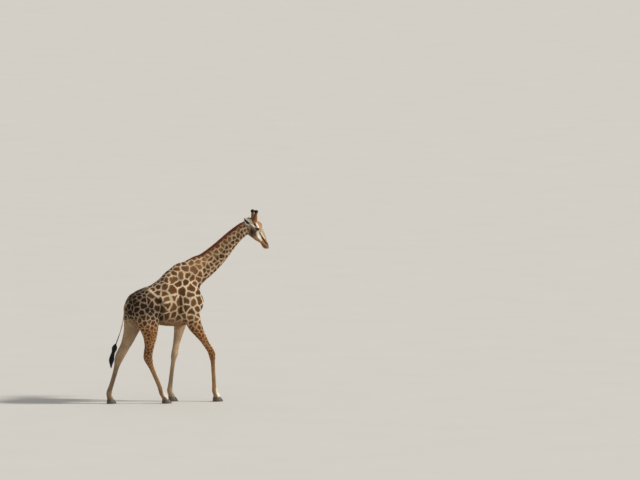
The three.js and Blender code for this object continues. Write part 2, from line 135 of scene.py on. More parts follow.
FORE_BACK = (
    (0.205, 0.11, 2.53, 0.04, 0.04, 0.022),
    (0.25, 0.15, 2.42, 0.1, 0.1, 0.05),
    (0.35, 0.186, 2.22, 0.2, 0.19, 0.092),
    (0.45, 0.216, 1.99, 0.255, 0.225, 0.112),
    (0.45, 0.23, 1.8, 0.205, 0.215, 0.112),
    (0.456, 0.23, 1.645, 0.17, 0.17, 0.098),
    (0.44, 0.222, 1.5, 0.13, 0.13, 0.084),
    (0.415, 0.216, 1.365, 0.102, 0.1, 0.07),
    (0.388, 0.211, 1.25, 0.084, 0.082, 0.062),
    (0.358, 0.206, 1.125, 0.07, 0.066, 0.056),
    (0.335, 0.202, 1.022, 0.068, 0.064, 0.058),
    (0.318, 0.2, 0.94, 0.076, 0.064, 0.063),
    (0.302, 0.197, 0.858, 0.06, 0.058, 0.054),
    (0.289, 0.194, 0.77, 0.044, 0.047, 0.041),
    (0.264, 0.19, 0.6, 0.041, 0.047, 0.036),
    (0.236, 0.186, 0.4, 0.041, 0.048, 0.036),
    (0.221, 0.184, 0.285, 0.046, 0.054, 0.042),
    (0.214, 0.183, 0.215, 0.055, 0.06, 0.051),
    (0.228, 0.182, 0.15, 0.056, 0.054, 0.049),
    (0.252, 0.181, 0.095, 0.066, 0.066, 0.06),
    (0.27, 0.181, 0.06, 0.05, 0.05, 0.046),
)
HIND_FORWARD = (
    (-0.5, 0.11, 2.12, 0.09, 0.09, 0.06),
    (-0.48, 0.165, 2.03, 0.19, 0.215, 0.108),
    (-0.455, 0.195, 1.9, 0.27, 0.275, 0.124),
    (-0.425, 0.215, 1.76, 0.275, 0.27, 0.132),
    (-0.398, 0.225, 1.63, 0.245, 0.238, 0.128),
    (-0.375, 0.222, 1.5, 0.2, 0.19, 0.112),
    (-0.352, 0.214, 1.37, 0.16, 0.155, 0.094),
    (-0.348, 0.206, 1.25, 0.126, 0.126, 0.078),
    (-0.356, 0.2, 1.12, 0.098, 0.104, 0.064),
    (-0.372, 0.196, 1.01, 0.09, 0.104, 0.058),
    (-0.374, 0.194, 0.915, 0.084, 0.104, 0.058),
    (-0.346, 0.191, 0.82, 0.07, 0.082, 0.052),
    (-0.304, 0.188, 0.712, 0.052, 0.058, 0.044),
    (-0.226, 0.184, 0.54, 0.045, 0.05, 0.038),
    (-0.148, 0.18, 0.365, 0.044, 0.05, 0.038),
    (-0.112, 0.178, 0.275, 0.048, 0.055, 0.042),
    (-0.084, 0.177, 0.205, 0.054, 0.06, 0.049),
    (-0.052, 0.176, 0.145, 0.052, 0.054, 0.047),
    (-0.014, 0.176, 0.092, 0.06, 0.062, 0.057),
    (0.01, 0.176, 0.06, 0.046, 0.046, 0.042),
)
HIND_BACK = (
    (-0.5, 0.11, 2.12, 0.09, 0.09, 0.06),
    (-0.49, 0.165, 2.03, 0.19, 0.205, 0.108),
    (-0.48, 0.195, 1.9, 0.255, 0.262, 0.124),
    (-0.49, 0.215, 1.76, 0.255, 0.252, 0.132),
    (-0.515, 0.225, 1.63, 0.226, 0.226, 0.128),
    (-0.55, 0.222, 1.5, 0.176, 0.186, 0.112),
    (-0.592, 0.214, 1.385, 0.146, 0.152, 0.094),
    (-0.646, 0.206, 1.25, 0.12, 0.128, 0.078),
    (-0.706, 0.2, 1.13, 0.1, 0.108, 0.064),
    (-0.768, 0.196, 1.015, 0.09, 0.104, 0.058),
    (-0.822, 0.194, 0.915, 0.084, 0.104, 0.058),
    (-0.866, 0.191, 0.815, 0.07, 0.08, 0.052),
    (-0.898, 0.188, 0.712, 0.052, 0.057, 0.044),
    (-0.95, 0.184, 0.54, 0.045, 0.05, 0.038),
    (-1.008, 0.18, 0.365, 0.044, 0.05, 0.038),
    (-1.04, 0.178, 0.275, 0.048, 0.055, 0.042),
    (-1.06, 0.177, 0.205, 0.056, 0.058, 0.049),
    (-1.058, 0.176, 0.145, 0.054, 0.052, 0.047),
    (-1.036, 0.176, 0.092, 0.06, 0.062, 0.057),
    (-1.016, 0.176, 0.06, 0.046, 0.046, 0.042),
)
TAIL = (
    (-0.7, 0, 2.01, 0.036, 0.036, 0.038),
    (-0.752, 0.004, 1.965, 0.034, 0.034, 0.034),
    (-0.784, 0.01, 1.89, 0.026, 0.026, 0.026),
    (-0.8, 0.018, 1.78, 0.02, 0.02, 0.021),
    (-0.822, 0.026, 1.64, 0.016, 0.016, 0.017),
    (-0.868, 0.034, 1.45, 0.013, 0.013, 0.014),
    (-0.93, 0.042, 1.27, 0.012, 0.012, 0.012),
    (-0.972, 0.046, 1.16, 0.012, 0.012, 0.012),
)
TAIL_TUFT = (
    (-0.966, 0.046, 1.19, 0.016, 0.016, 0.016),
    (-0.98, 0.046, 1.155, 0.042, 0.038, 0.038),
    (-0.998, 0.047, 1.095, 0.058, 0.054, 0.052),
    (-1.018, 0.048, 1.015, 0.032, 0.036, 0.032),
    (-1.04, 0.049, 0.94, 0.04, 0.046, 0.04),
    (-1.054, 0.05, 0.87, 0.046, 0.05, 0.044),
    (-1.062, 0.051, 0.78, 0.019, 0.024, 0.021),
    (-1.064, 0.052, 0.69, 0.005, 0.007, 0.006),
)
HEAD = (
    (-0.072, 0, 0.066, 0.018, 0.036, 0.02),
    (-0.048, 0, 0.062, 0.054, 0.106, 0.058),
    (0, 0, 0.055, 0.108, 0.166, 0.08),
    (0.05, 0, 0.052, 0.136, 0.188, 0.088),
    (0.1, 0, 0.05, 0.15, 0.195, 0.094),
    (0.15, 0, 0.048, 0.153, 0.188, 0.098),
    (0.2, 0, 0.045, 0.148, 0.173, 0.098),
    (0.25, 0, 0.04, 0.142, 0.158, 0.093),
    (0.3, 0, 0.036, 0.134, 0.145, 0.083),
    (0.35, 0, 0.031, 0.125, 0.131, 0.072),
    (0.4, 0, 0.027, 0.113, 0.115, 0.061),
    (0.45, 0, 0.023, 0.096, 0.093, 0.053),
    (0.5, 0, 0.018, 0.076, 0.078, 0.048),
    (0.55, 0, 0.008, 0.064, 0.075, 0.046),
    (0.595, 0, -0.004, 0.056, 0.072, 0.048),
    (0.635, 0, -0.008, 0.043, 0.06, 0.048),
    (0.662, 0, -0.012, 0.029, 0.045, 0.037),
    (0.681, 0, -0.018, 0.01, 0.014, 0.012),
)
OSSICONE = (
    (1.905, 0.048, 3.48, 0.054, 0.054, 0.036),
    (1.914, 0.057, 3.545, 0.047, 0.05, 0.033),
    (1.92, 0.067, 3.59, 0.038, 0.041, 0.031),
    (1.923, 0.078, 3.63, 0.033, 0.035, 0.029),
    (1.926, 0.087, 3.666, 0.034, 0.035, 0.031),
    (1.927, 0.093, 3.696, 0.039, 0.039, 0.035),
    (1.927, 0.096, 3.722, 0.031, 0.031, 0.028),
    (1.927, 0.097, 3.738, 0.01, 0.01, 0.01),
)
# A swell: its middle, its reach along, up and sideways, its tilt in degrees, and how far it rises (below 0
# for a hollow). Both sides have it.
BODY_SWELLS = (
    (0.745, 0.165, 1.965, 0.11, 0.13, 0.11, 20, 0.022),  # point of the shoulder
    (0.33, 0.18, 2.43, 0.3, 0.045, 0.12, 35, 0.014),  # front edge of the shoulder blade
    (0.56, 0.17, 2.4, 0.22, 0.06, 0.12, 38, -0.014),  # hollow between it and the neck
    (-0.36, 0.215, 2.25, 0.09, 0.07, 0.13, 30, 0.02),  # hip bone
    (-0.205, 0.27, 2.095, 0.2, 0.042, 0.15, 47, 0.016),  # ridge from it down to the ribs
    (-0.11, 0.27, 2.205, 0.13, 0.075, 0.15, 40, -0.016),  # hollow of the loin
    (-0.14, 0.28, 1.84, 0.085, 0.15, 0.15, 0, -0.02),  # hollow ahead of the thigh
    (-0.705, 0.11, 1.99, 0.07, 0.08, 0.09, 0, 0.014),  # pin bone
    (1, 0.13, 2.87, 0.34, 0.032, 0.11, -34.5, -0.008),  # groove along the neck
    (0.23, 0.3, 1.77, 0.06, 0.17, 0.15, 0, -0.014),  # hollow behind the elbow
    (0.38, 0.33, 1.96, 0.13, 0.16, 0.12, 0, 0.014),  # back muscle of the upper arm
)
HEAD_SWELLS = (
    (0.222, 0, 0.205, 0.046, 0.07, 0.046, 0, 0.055),  # bump between the eyes
    (0.2, 0.092, 0.112, 0.052, 0.034, 0.04, 0, 0.017),  # rim over the eye
    (0.225, 0.092, 0.038, 0.06, 0.02, 0.04, 0, 0.01),  # rim under it
    (0.118, 0.09, 0.092, 0.044, 0.04, 0.05, 0, -0.01),  # hollow of the temple
    (0.185, 0.08, -0.05, 0.08, 0.06, 0.06, 0, 0.011),  # cheek muscle
    (0.38, 0.066, 0.01, 0.09, 0.034, 0.04, 0, -0.009),  # hollow side of the face
    (0.592, 0.04, 0.024, 0.036, 0.026, 0.034, 0, 0.009),  # nostril
    (0.64, 0, 0.008, 0.034, 0.036, 0.06, 0, 0.006),  # upper lip
    (0.072, 0.058, 0.195, 0.05, 0.06, 0.04, 0, 0.018),  # root of the horn
    (0.074, 0.085, 0.045, 0.045, 0.045, 0.035, 0, 0.012),  # root of the ear
    (0.078, 0.078, 0.155, 0.05, 0.04, 0.05, 0, 0.013),  # outer side of the horn's root
)

HEAD_PLACE = (1.76, 0, 3.47)
FACE_DOWN = math.radians(46.9)  # how far the line of the head points below the horizon
EYE_PLACE = (0.221, 0.093, 0.074)  # in the head's frame
EYE_RADIUS = 0.026
SIDES = {"right": -1, "left": 1}  # sign of Y on each side
EARS = {  # root, tip and the way that the mouth of the cup faces
    "right": ((1.838, -0.078, 3.442), (1.638, -0.186, 3.594), (-0.2, -0.9, -0.1)),
    "left": ((1.846, 0.078, 3.448), (1.908, 0.286, 3.566), (0.75, 0.2, -0.5)),
}
EAR_HALF_WIDTH, EAR_DEPTH, EAR_WALL, EAR_LEAST = 0.065, 0.03, 0.007, 0.0052
EAR_SUNK = 0.02  # how deep the ear's root stands in the head
EAR_RINGS, EAR_AROUND = 64, 44
EAR_LOOP = 2 * EAR_AROUND - 2  # points in one ring, round the back and through the hollow
MANE_FROM, MANE_TO = 0.28, 0.975  # where along the neck
MANE_HEIGHT = (0.018, 0.032, 0.042, 0.048, 0.048, 0.044, 0.038, 0.026)  # from the withers to the poll
FEET = {  # middle of each foot on the floor, and the length, width and height of one claw
    "fore_right": ((1.085, -0.181), (0.2, 0.078, 0.088)),
    "fore_left": ((0.277, 0.181), (0.2, 0.078, 0.088)),
    "hind_right": ((0.014, -0.176), (0.188, 0.073, 0.084)),
    "hind_left": ((-1.008, 0.176), (0.188, 0.073, 0.084)),
}
CLEFT = 0.007  # between the two claws of a foot
FLESH_NODES = [
    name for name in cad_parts
    if name in ("trunk", "neck", "head", "tail") or name.startswith("ear_") or name.endswith("_leg")
]

# Folds that are too fine for the swells: how deep each is (below 0 for a ridge), its half width, and points
# on the right side that it runs through. Both sides have it.
FOLDS = {
    "behind the elbow": (0.021, 0.026, (0.255, -0.3, 2.12), (0.25, -0.32, 1.96), (0.28, -0.3, 1.76)),
    "upper arm": (-0.013, 0.04, (0.34, -0.31, 2.12), (0.345, -0.33, 1.96), (0.37, -0.32, 1.82)),
    "between arm and breast": (0.01, 0.02, (0.7, -0.19, 2.16), (0.69, -0.17, 2.02), (0.66, -0.17, 1.86)),
    "behind the jaw": (0.0025, 0.02, (1.7, -0.07, 3.3), (1.73, -0.07, 3.24), (1.75, -0.05, 3.19)),
    "front edge of the shoulder": (
        -0.006, 0.022, (0.27, -0.22, 2.46), (0.4, -0.26, 2.38), (0.54, -0.25, 2.34), (0.62, -0.23, 2.22),
        (0.76, -0.18, 1.99),
    ),
    "hip to ribs": (-0.007, 0.028, (-0.36, -0.2, 2.24), (-0.2, -0.28, 2.1), (-0.06, -0.31, 1.94)),
    "above hip to ribs": (0.008, 0.04, (-0.24, -0.22, 2.27), (-0.08, -0.28, 2.14), (0.02, -0.31, 2.03)),
    "flank": (0.012, 0.045, (-0.14, -0.29, 1.98), (-0.16, -0.29, 1.82), (-0.13, -0.27, 1.66)),
    "between arm muscles": (0.006, 0.022, (0.36, -0.31, 2.08), (0.43, -0.32, 1.98), (0.47, -0.32, 1.86)),
    "neck groove": (
        0.007, 0.02, (0.86, -0.15, 2.64), (1.04, -0.125, 2.76), (1.39, -0.1, 3.1), (1.64, -0.085, 3.3),
    ),
    "above the neck groove": (
        -0.005, 0.035, (0.83, -0.14, 2.7), (1.0, -0.12, 2.83), (1.35, -0.09, 3.16), (1.6, -0.08, 3.36),
    ),
}


def linear(code):
    """A colour written as 0xRRGGBB, as the linear values that materials take."""
    parts = [(code >> shift & 255) / 255 for shift in (16, 8, 0)]
    return tuple(c / 12.92 if c <= 0.04045 else ((c + 0.055) / 1.055) ** 2.4 for c in parts)


def tint(name, description, code):
    """A colour setting."""
    return FloatVectorProperty(
        name=name, description=description, subtype="COLOR", size=3, min=0, max=1, default=linear(code)
    )


def angle(name, description, degrees):
    """An angle setting."""
    return FloatProperty(
        name=name, description=description, subtype="ANGLE", default=math.radians(degrees)
    )


def size(name, description, metres):
    """A length setting."""
    return FloatProperty(
        name=name, description=description, unit="LENGTH", precision=4, min=0, default=metres
    )


class GiraffeSizes(bpy.types.PropertyGroup):
    """Sizes of the skin's net and of the coat."""

    body_step: size("Body Step", "Spacing of the skin's net on the body", 0.01)
    head_step: size("Head Step", "Spacing of the skin's net on the head", 0.0042)
    coat_depth: size("Coat Depth", "How far the skin lies inside the outline", 0.0035)
    face_depth: size("Face Coat Depth", "How far the face's skin lies inside the outline", 0.0015)
    coat_length: size("Coat Length", "Length of a tuft on the flank", 0.017)
    face_length: size("Face Coat Length", "Length of a tuft on the face and feet", 0.006)
    patch_spacing: size("Patch Spacing", "From middle to middle of the shoulder's patches", 0.165)
    coat_tufts: IntProperty(name="Coat Tufts", description="Tufts in the short coat", default=400000)
    mane_strands: IntProperty(name="Mane Strands", description="Strands in the mane", default=16000)
    tail_strands: IntProperty(name="Tail Strands", description="Strands in the tail's tuft", default=2600)


class GiraffeColours(bpy.types.PropertyGroup):
    """Colours of the animal."""

    cream: tint("Cream", "Lines between the patches", 0xDECDB0)
    tan: tint("Tan", "Ground of the belly and legs", 0xB58550)
    patch: tint("Patch", "Lightest patches", 0x87603A)
    patch_deep: tint("Deep Patch", "Darkest patches", 0x583719)
    # Besides the face's dark marks, dusk is the colour that painted shade takes the patches to: on the rump,
    # in the creases, along the neck and on the inner legs.
    dusk: tint("Dusk", "Patches of the rump and marks of the face", 0x2E1B0F)
    # Dusk line is the cream of the lines under painted shade, on the rump and elsewhere; the whiskers' tips
    # take it too.
    dusk_line: tint("Dusk Line", "Lines on the rump", 0x7E6853)
    # Pale also paints highlights, on the fronts of the near legs and on the ridge from the hip.
    pale: tint("Pale", "White of the face and ears", 0xEFE7D9)
    skin: tint("Bare Skin", "Lids, nostrils and lips", 0x3A2A22)
    mane: tint("Mane", "Rust of the mane", 0x84431D)
    black: tint("Black Hair", "Tail tuft, lashes and horn tufts", 0x120E0C)
    stem: tint("Horn Stem", "Hair of the horn's stem", 0x8F6130)
    hoof: tint("Hoof", "Horn of the hooves", 0x4A4036)
    iris: tint("Iris", "Eyes", 0x2A1409)


class GiraffeStage(bpy.types.PropertyGroup):
    """Camera and light."""

    azimuth: angle("Azimuth", "Turn of the camera round the animal; 0 looks along +Y", -22)
    elevation: angle("Elevation", "Height of the camera above the horizon, as an angle", 4.5)
    distance: size("Distance", "From the camera to the animal", 150)
    view_width: size("View Width", "What the picture spans at the animal", 12.549)
    ahead: size("Room Ahead", "From the animal's middle to the picture's middle, sideways", 2.561)
    above: size("Room Above", "From the animal's middle to the picture's middle, upwards", 1.306)
    sun: FloatProperty(name="Key Light", description="Strength of the key light", default=3.5)
    sky: FloatProperty(name="Fill Light", description="Strength of the light all round", default=0.5)


SETTINGS = {
    "giraffe_sizes": GiraffeSizes, "giraffe_colours": GiraffeColours, "giraffe_stage": GiraffeStage,
}


# ---- Shape ----

def smooth_least(a, b, width):
    """The lower of two distances, rounded where they meet."""
    share = np.clip(0.5 + 0.5 * (b - a) / width, 0, 1)
    return b + (a - b) * share - width * share * (1 - share)


def step(low, high, value):
    """0 below low, 1 above high, and a smooth rise between."""
    share = np.clip((np.asarray(value, float) - low) / (high - low), 0, 1)
    return share * share * (3 - 2 * share)


def bell(value, middle, spread):
    """1 at the middle, and less with the distance from it."""
    return np.exp(-(((value - middle) / spread) ** 2))


def unit(vectors):
    return vectors / np.maximum(np.linalg.norm(vectors, axis=-1, keepdims=True), 1e-12)


def dot(a, b):
    return (a * b).sum(-1)


def mirrored(points, side=1):
    """The same points, all on one side of the animal."""
    return np.stack([points[:, 0], side * np.abs(points[:, 1]), points[:, 2]], 1)


def from_head(points):
    """Out of the head's frame into the animal's."""
    x, y, z = np.moveaxis(np.asarray(points, float), -1, 0)
    c, s = math.cos(FACE_DOWN), math.sin(FACE_DOWN)
    return np.stack([x * c + z * s, y, z * c - x * s], -1) + HEAD_PLACE + SHIFT


def way_from_head(directions):
    """Directions out of the head's frame into the animal's."""
    return from_head(directions) - from_head(np.zeros(3))


def to_head(points):
    """Into the head's frame."""
    x, y, z = np.moveaxis(points - SHIFT - HEAD_PLACE, -1, 0)
    c, s = math.cos(FACE_DOWN), math.sin(FACE_DOWN)
    return np.stack([x * c - z * s, y, z * c + x * s], -1)


def middle_of(node):
    low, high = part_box(node)
    return np.array((low + high) / 2)


# The frame's origin is under the middle of the whole animal: the stations move there with the eyes.
SHIFT = np.zeros(3)
SHIFT = (middle_of("eye_right") + middle_of("eye_left")) / 2 - from_head((EYE_PLACE[0], 0, EYE_PLACE[2]))


def directions(change):
    """Along a line that goes on by this change, sideways from it, and to its upper side."""
    along = unit(change[:, :3])
    sideways = unit(np.array((0, 1, 0)) - along * along[:, 1:2])
    return along, sideways, np.cross(along, sideways)


class Limb:
    """A smooth middle line, with the reach of the flesh to its upper side, lower side and sideways."""

    NEAR = 0.13  # how far off the flesh a point still feels the limb
    STEEPEST = 6  # limit of the slope, squared, that the distance allows for
    END_ROUND = 0.012
    BLOCK = 20000  # points worked on at a time

    def __init__(self, stations, side=1, shift=None, full=None):
        table = np.array(stations, float)
        table[:, 1] *= side
        table[:, :3] += SHIFT if shift is None else shift
        knots = np.vstack([2 * table[:1] - table[1:2], table, 2 * table[-1:] - table[-2:-1]])
        start, end = knots[1:-2], knots[2:-1]
        leaving, arriving = (end - knots[:-3]) / 2, (knots[3:] - start) / 2
        bend, twist = 3 * (end - start) - 2 * leaving - arriving, 2 * (start - end) + leaving + arriving
        self.terms = np.stack([start, leaving, bend, twist], 1)
        self.count = len(table) - 1
        self.full = full or np.ones_like
        self.fine = np.linspace(0, 1, 8 * self.count + 1)
        middle, reach = np.split(self.at(self.fine)[0], [3], axis=1)
        self.middle = middle
        margin = reach.max(1, keepdims=True) + self.NEAR
        self.low, self.high = (middle - margin).min(0), (middle + margin).max(0)

    def at(self, t, width=6):
        """Middle and reach at t, from 0 to 1, and how fast they change there."""
        place = np.clip(t, 0, 1) * self.count
        i = np.minimum(place.astype(int), self.count - 1)
        w = (place - i)[:, None]
        a, b, c, d = np.moveaxis(self.terms[i, :, :width], 1, 0)
        return a + w * (b + w * (c + w * d)), (b + w * (2 * c + w * 3 * d)) * self.count

    def section(self, t):
        """Middle, directions along, sideways and to the upper side, and the three reaches."""
        value, change = self.at(t)
        return value[:, :3], *directions(change), value[:, 3:]

    def closest(self, points):
        """Where along the line each point lies."""
        size = (self.middle**2).sum(1)
        blocks = np.array_split(points, len(points) // self.BLOCK + 1)
        nearest = np.concatenate([(size - 2 * block @ self.middle.T).argmin(1) for block in blocks])
        return self.follow(points, self.follow(points, self.fine[nearest]))

    def follow(self, points, t):
        """The same after a small move."""
        middle, speed = self.at(t, 3)
        onwards = dot(points - middle, speed) / dot(speed, speed)
        return np.clip(t + np.clip(onwards, -self.fine[1], self.fine[1]), 0, 1)

    def distance(self, points, t):
        """How far each point is outside the flesh, below 0 inside."""
        t = self.follow(points, t)
        value, change = self.at(t)
        _, sideways, upper = directions(change)
        arm = points - value[:, :3]
        out, up = dot(arm, sideways), dot(arm, upper)
        side = np.where(up > 0, 3, 4)
        rows = np.arange(len(t))
        tall, wide = value[rows, side], value[:, 5]
        power = 2 * self.full(t)
        share_out, share_up = (np.abs(out) / wide) ** power, (np.abs(up) / tall) ** power
        fill = np.maximum(share_out + share_up, 1e-9)
        away = np.hypot(out, up)
        outline = away * fill ** (-1 / power)
        opening = share_out * change[:, 5] / wide + share_up * change[rows, side] / tall
        lean = outline * opening / (fill * np.linalg.norm(change[:, :3], axis=1))
        gap = (away - outline) / np.sqrt(1 + np.minimum(lean**2, self.STEEPEST))
        for end, sign in ((0, -1), (1, 1)):
            near = np.abs(t - end) < 1 / self.count
            if near.any():
                centre, along = (v[0] for v in self.section(np.array([float(end)]))[:2])
                past = sign * ((points[near] - centre) @ along)
                gap[near] = -smooth_least(-gap[near], -past, self.END_ROUND)
        return gap

    def rings(self, low, high, count, around):
        """Rings of points on the outline between two places along the line."""
        t = np.linspace(low, high, count)
        middle, _, sideways, upper, reach = self.section(t)
        angle = np.linspace(0, 2 * np.pi, around, endpoint=False)
        c, s = np.cos(angle), np.sin(angle)
        power = 1 / self.full(t)[:, None]
        up = np.where(s > 0, reach[:, :1], reach[:, 1:2]) * np.sign(s) * np.abs(s) ** power
        out = reach[:, 2:] * np.sign(c) * np.abs(c) ** power
        return middle[:, None] + out[..., None] * sideways[:, None] + up[..., None] * upper[:, None]


def rise(swells, points):
    """How far the swells raise the flesh."""
    total = np.zeros(len(points))
    for x, y, z, a, b, c, tilt, height in swells:
        turn = math.radians(tilt)
        dx, dz = points[:, 0] - x, points[:, 2] - z
        along = dx * math.cos(turn) - dz * math.sin(turn)
        up = dx * math.sin(turn) + dz * math.cos(turn)
        sideways = np.abs(points[:, 1]) - y
        total += height * np.exp(-((along / a) ** 2) - (up / b) ** 2 - (sideways / c) ** 2)
    return total


def narrow_withers(t):
    """How full the trunk's section is: 1 for an ellipse, less where the shoulder blades rise to a ridge."""
    return 0.97 - 0.2 * bell(t, 0.6, 0.13)


LIMBS = {
    "trunk": Limb(TRUNK, full=narrow_withers),
    "neck": Limb(NECK),
    "fore_right": Limb(FORE_FORWARD, side=-1),
    "fore_left": Limb(FORE_BACK),
    "hind_right": Limb(HIND_FORWARD, side=-1),
    "hind_left": Limb(HIND_BACK),
    "tail": Limb(TAIL),
    "head": Limb(HEAD, shift=0, full=lambda t: np.full_like(t, 0.94)),
}
LIMB_NAMES = list(LIMBS)
LEGS = [name for name in LIMB_NAMES if name.startswith(("fore", "hind"))]
BLEND = {"trunk": 0.02, "neck": 0.11, "tail": 0.02, "head": 0.035}  # how softly a limb meets the rest
LEG_BLEND, LID_BLEND = 0.05, 0.014
LID_RADIUS = EYE_RADIUS + 0.003


def seen_by(name, points):
    """Points in the frame of the limb of that name."""
    return to_head(points) if name == "head" else points


class Flesh:
    """The whole animal as one field of distance, asked at points that move little by little."""

    def __init__(self, points):
        self.count = len(points)
        self.feet = {}
        for name, limb in LIMBS.items():
            local = seen_by(name, points)
            near = np.flatnonzero(((local > limb.low) & (local < limb.high)).all(1))
            self.feet[name] = near, limb.closest(local[near])

    def parts(self, points):
        """Distance to each limb, 1 where it is far off."""
        found = {}
        for name, (near, t) in self.feet.items():
            local = seen_by(name, points[near])
            found[name] = np.ones(self.count)
            found[name][near] = LIMBS[name].distance(local, t)
            if name == "head":
                found[name][near] -= rise(HEAD_SWELLS, local)
                ball = np.linalg.norm(mirrored(local) - EYE_PLACE, axis=1)
                found[name][near] = smooth_least(found[name][near], ball - LID_RADIUS, LID_BLEND)
        return found

    def distance(self, points):
        found = self.parts(points)
        total = np.ones(self.count)
        for name in ("trunk", "neck", *LEGS, "tail"):
            total = smooth_least(total, found[name], BLEND.get(name, LEG_BLEND))
        total -= rise(BODY_SWELLS, points - SHIFT)
        return smooth_least(total, found["head"], BLEND["head"])


def settle(points, depth, free, rounds=3):
    """Moves points onto the surface that lies the depth inside the flesh. Free ones stay by that share."""
    reach, longest = 1e-4, 0.02  # of a look at the slope, and of one move
    for _ in range(rounds):
        flesh = Flesh(points)
        here = flesh.distance(points)
        slope = np.stack([flesh.distance(points + reach * axis) - here for axis in np.eye(3)], 1) / reach
        move = (here + depth)[:, None] * slope / np.maximum(dot(slope, slope), 0.1)[:, None]
        move *= np.minimum(1, longest / np.maximum(np.linalg.norm(move, axis=1), 1e-9))[:, None]
        points = points - move * (1 - free)[:, None]
    return points


def ear_rings(side, steps, around):
    """A cupped leaf: rings that run round its back and return through the hollow. Its root is sunk."""
    root, tip, mouth = (np.array(v, float) for v in EARS[side])
    along = unit(tip - root)
    root = root - along * EAR_SUNK
    length = np.linalg.norm(tip - root)
    opening = unit(mouth - along * (mouth @ along))
    across = np.cross(along, opening)
    t = np.linspace(0, 1, steps)
    leaf = np.sin(np.pi * (0.1 + 0.9 * t)) ** 0.75
    narrow = 1 - 0.4 * step(0.35, 0.08, t)
    half = EAR_HALF_WIDTH * np.maximum(leaf, 0.07) * narrow
    depth = EAR_DEPTH * np.maximum(1 - t**3, 0.1) * np.maximum(leaf, 0.2) * (2 - narrow)
    wall = np.clip(half * 0.6, EAR_LEAST, EAR_WALL)
    angle = np.linspace(0, np.pi, around)
    back = np.stack([np.outer(half, np.cos(angle)), -np.outer(depth, np.sin(angle))], -1)
    hollow = depth - np.clip(0.9 * depth, EAR_LEAST, wall)
    inner = angle[-2:0:-1]
    front = np.stack([np.outer(half - wall, np.cos(inner)), -np.outer(hollow, np.sin(inner))], -1)
    outline = np.concatenate([back, front], 1)
    middle = root + SHIFT + along * length * t[:, None]
    return middle[:, None] + outline[..., :1] * across + outline[..., 1:] * opening


def eye_middle(sign):
    """Middle of the eye on one side, or on each point's own side, in the head's frame."""
    x, y, z = EYE_PLACE
    return np.stack(np.broadcast_arrays(x, y * sign, z), -1)


def lid_rings(sign):
    """Rings round the ball that the lids close over."""
    tilt, turn = np.linspace(0.02, np.pi - 0.02, 24), np.linspace(0, 2 * np.pi, 40, endpoint=False)
    x, y = np.outer(np.sin(tilt), np.cos(turn)), np.outer(np.sin(tilt), np.sin(turn))
    ball = np.stack([x, y, np.repeat(np.cos(tilt)[:, None], len(turn), 1)], -1)
    return from_head(eye_middle(sign) + LID_RADIUS * ball)


# ---- Meshes ----

def closed(rings):
    """Points and faces of a closed tube round the rings."""
    count, around = rings.shape[:2]
    i, j = np.meshgrid(np.arange(count - 1), np.arange(around), indexing="ij")
    here, beside = i * around + j, i * around + (j + 1) % around
    sides = np.stack([here, beside, beside + around, here + around], -1).reshape(-1, 4)
    ends = [tuple(range(around))[::-1], tuple(range((count - 1) * around, count * around))]
    return rings.reshape(-1, 3), [tuple(face) for face in sides.tolist()] + ends


def in_scene(name, data):
    """A new object in the scene."""
    made = bpy.data.objects.new(name, data)
    bpy.context.scene.collection.objects.link(made)
    return made


def mesh_from(name, points, faces):
    mesh = bpy.data.meshes.new(name)
    mesh.from_pydata(np.asarray(points).tolist(), [], faces)
    return mesh


def piece_from(name, points, faces):
    """A new object in the scene from points and faces."""
    return in_scene(name, mesh_from(name, points, faces))


def joined(shells):
    """Points and faces of several shells as one."""
    points, faces, start = [], [], 0
    for shell_points, shell_faces in shells:
        points.append(shell_points)
        faces += [tuple(start + i for i in face) for face in shell_faces]
        start += len(shell_points)
    return np.concatenate(points), faces


def evened(shells, spacing):
    """One closed net of even squares round shells that overlap."""
    piece = piece_from("net", *joined(shells))
    voxels = piece.modifiers.new("even", "REMESH")
    voxels.mode = "VOXEL"
    voxels.voxel_size = spacing
    made = bpy.data.meshes.new_from_object(piece.evaluated_get(bpy.context.evaluated_depsgraph_get()))
    bpy.data.objects.remove(piece)
    return made


def numbers_of(parts, name, width, kind=np.float32):
    """What the parts of a mesh keep under one name, a row for each part."""
    found = np.empty(len(parts) * width, kind)
    parts.foreach_get(name, found)
    return found.reshape(-1, width)


def points_of(mesh):
    return numbers_of(mesh.vertices, "co", 3).astype(float)


def normals_of(mesh):
    return numbers_of(mesh.vertex_normals, "vector", 3).astype(float)


def set_points(mesh, points):
    mesh.vertices.foreach_set("co", np.asarray(points, np.float32).ravel())
    mesh.update()


def give_values(mesh, **values):
    """Named attributes at the mesh's points: plain numbers or directions."""
    for name, numbers in values.items():
        kind = "FLOAT" if numbers.ndim == 1 else "FLOAT_VECTOR"
        layer = mesh.attributes.new(name, kind, "POINT")
        layer.data.foreach_set("value" if numbers.ndim == 1 else "vector", numbers.astype(np.float32).ravel())


def eased(points, edges, rounds, share):
    """Points pulled towards the mean of their neighbours, each by its share."""
    ends = np.concatenate([edges, edges[:, ::-1]])
    links = np.bincount(ends[:, 0], minlength=len(points))
    for _ in range(rounds):
        mean = np.stack([
            np.bincount(ends[:, 0], points[ends[:, 1], k], len(points)) for k in range(3)
        ], 1) / np.maximum(links, 1)[:, None]
        points = points + (mean - points) * share[:, None]
    return points


def smooth(mesh):
    """Shades all the faces as one round surface."""
    mesh.polygons.foreach_set("use_smooth", np.ones(len(mesh.polygons), bool))
    mesh.update()


def face_out(mesh):
    """Turns all the faces to look outwards, and shades them as one round surface."""
    net = bmesh.new()
    net.from_mesh(mesh)
    bmesh.ops.recalc_face_normals(net, faces=net.faces[:])
    net.to_mesh(mesh)
    net.free()
    smooth(mesh)


# ---- Skin ----

NECK_JOIN = 0.78  # where along the neck the head's finer net begins


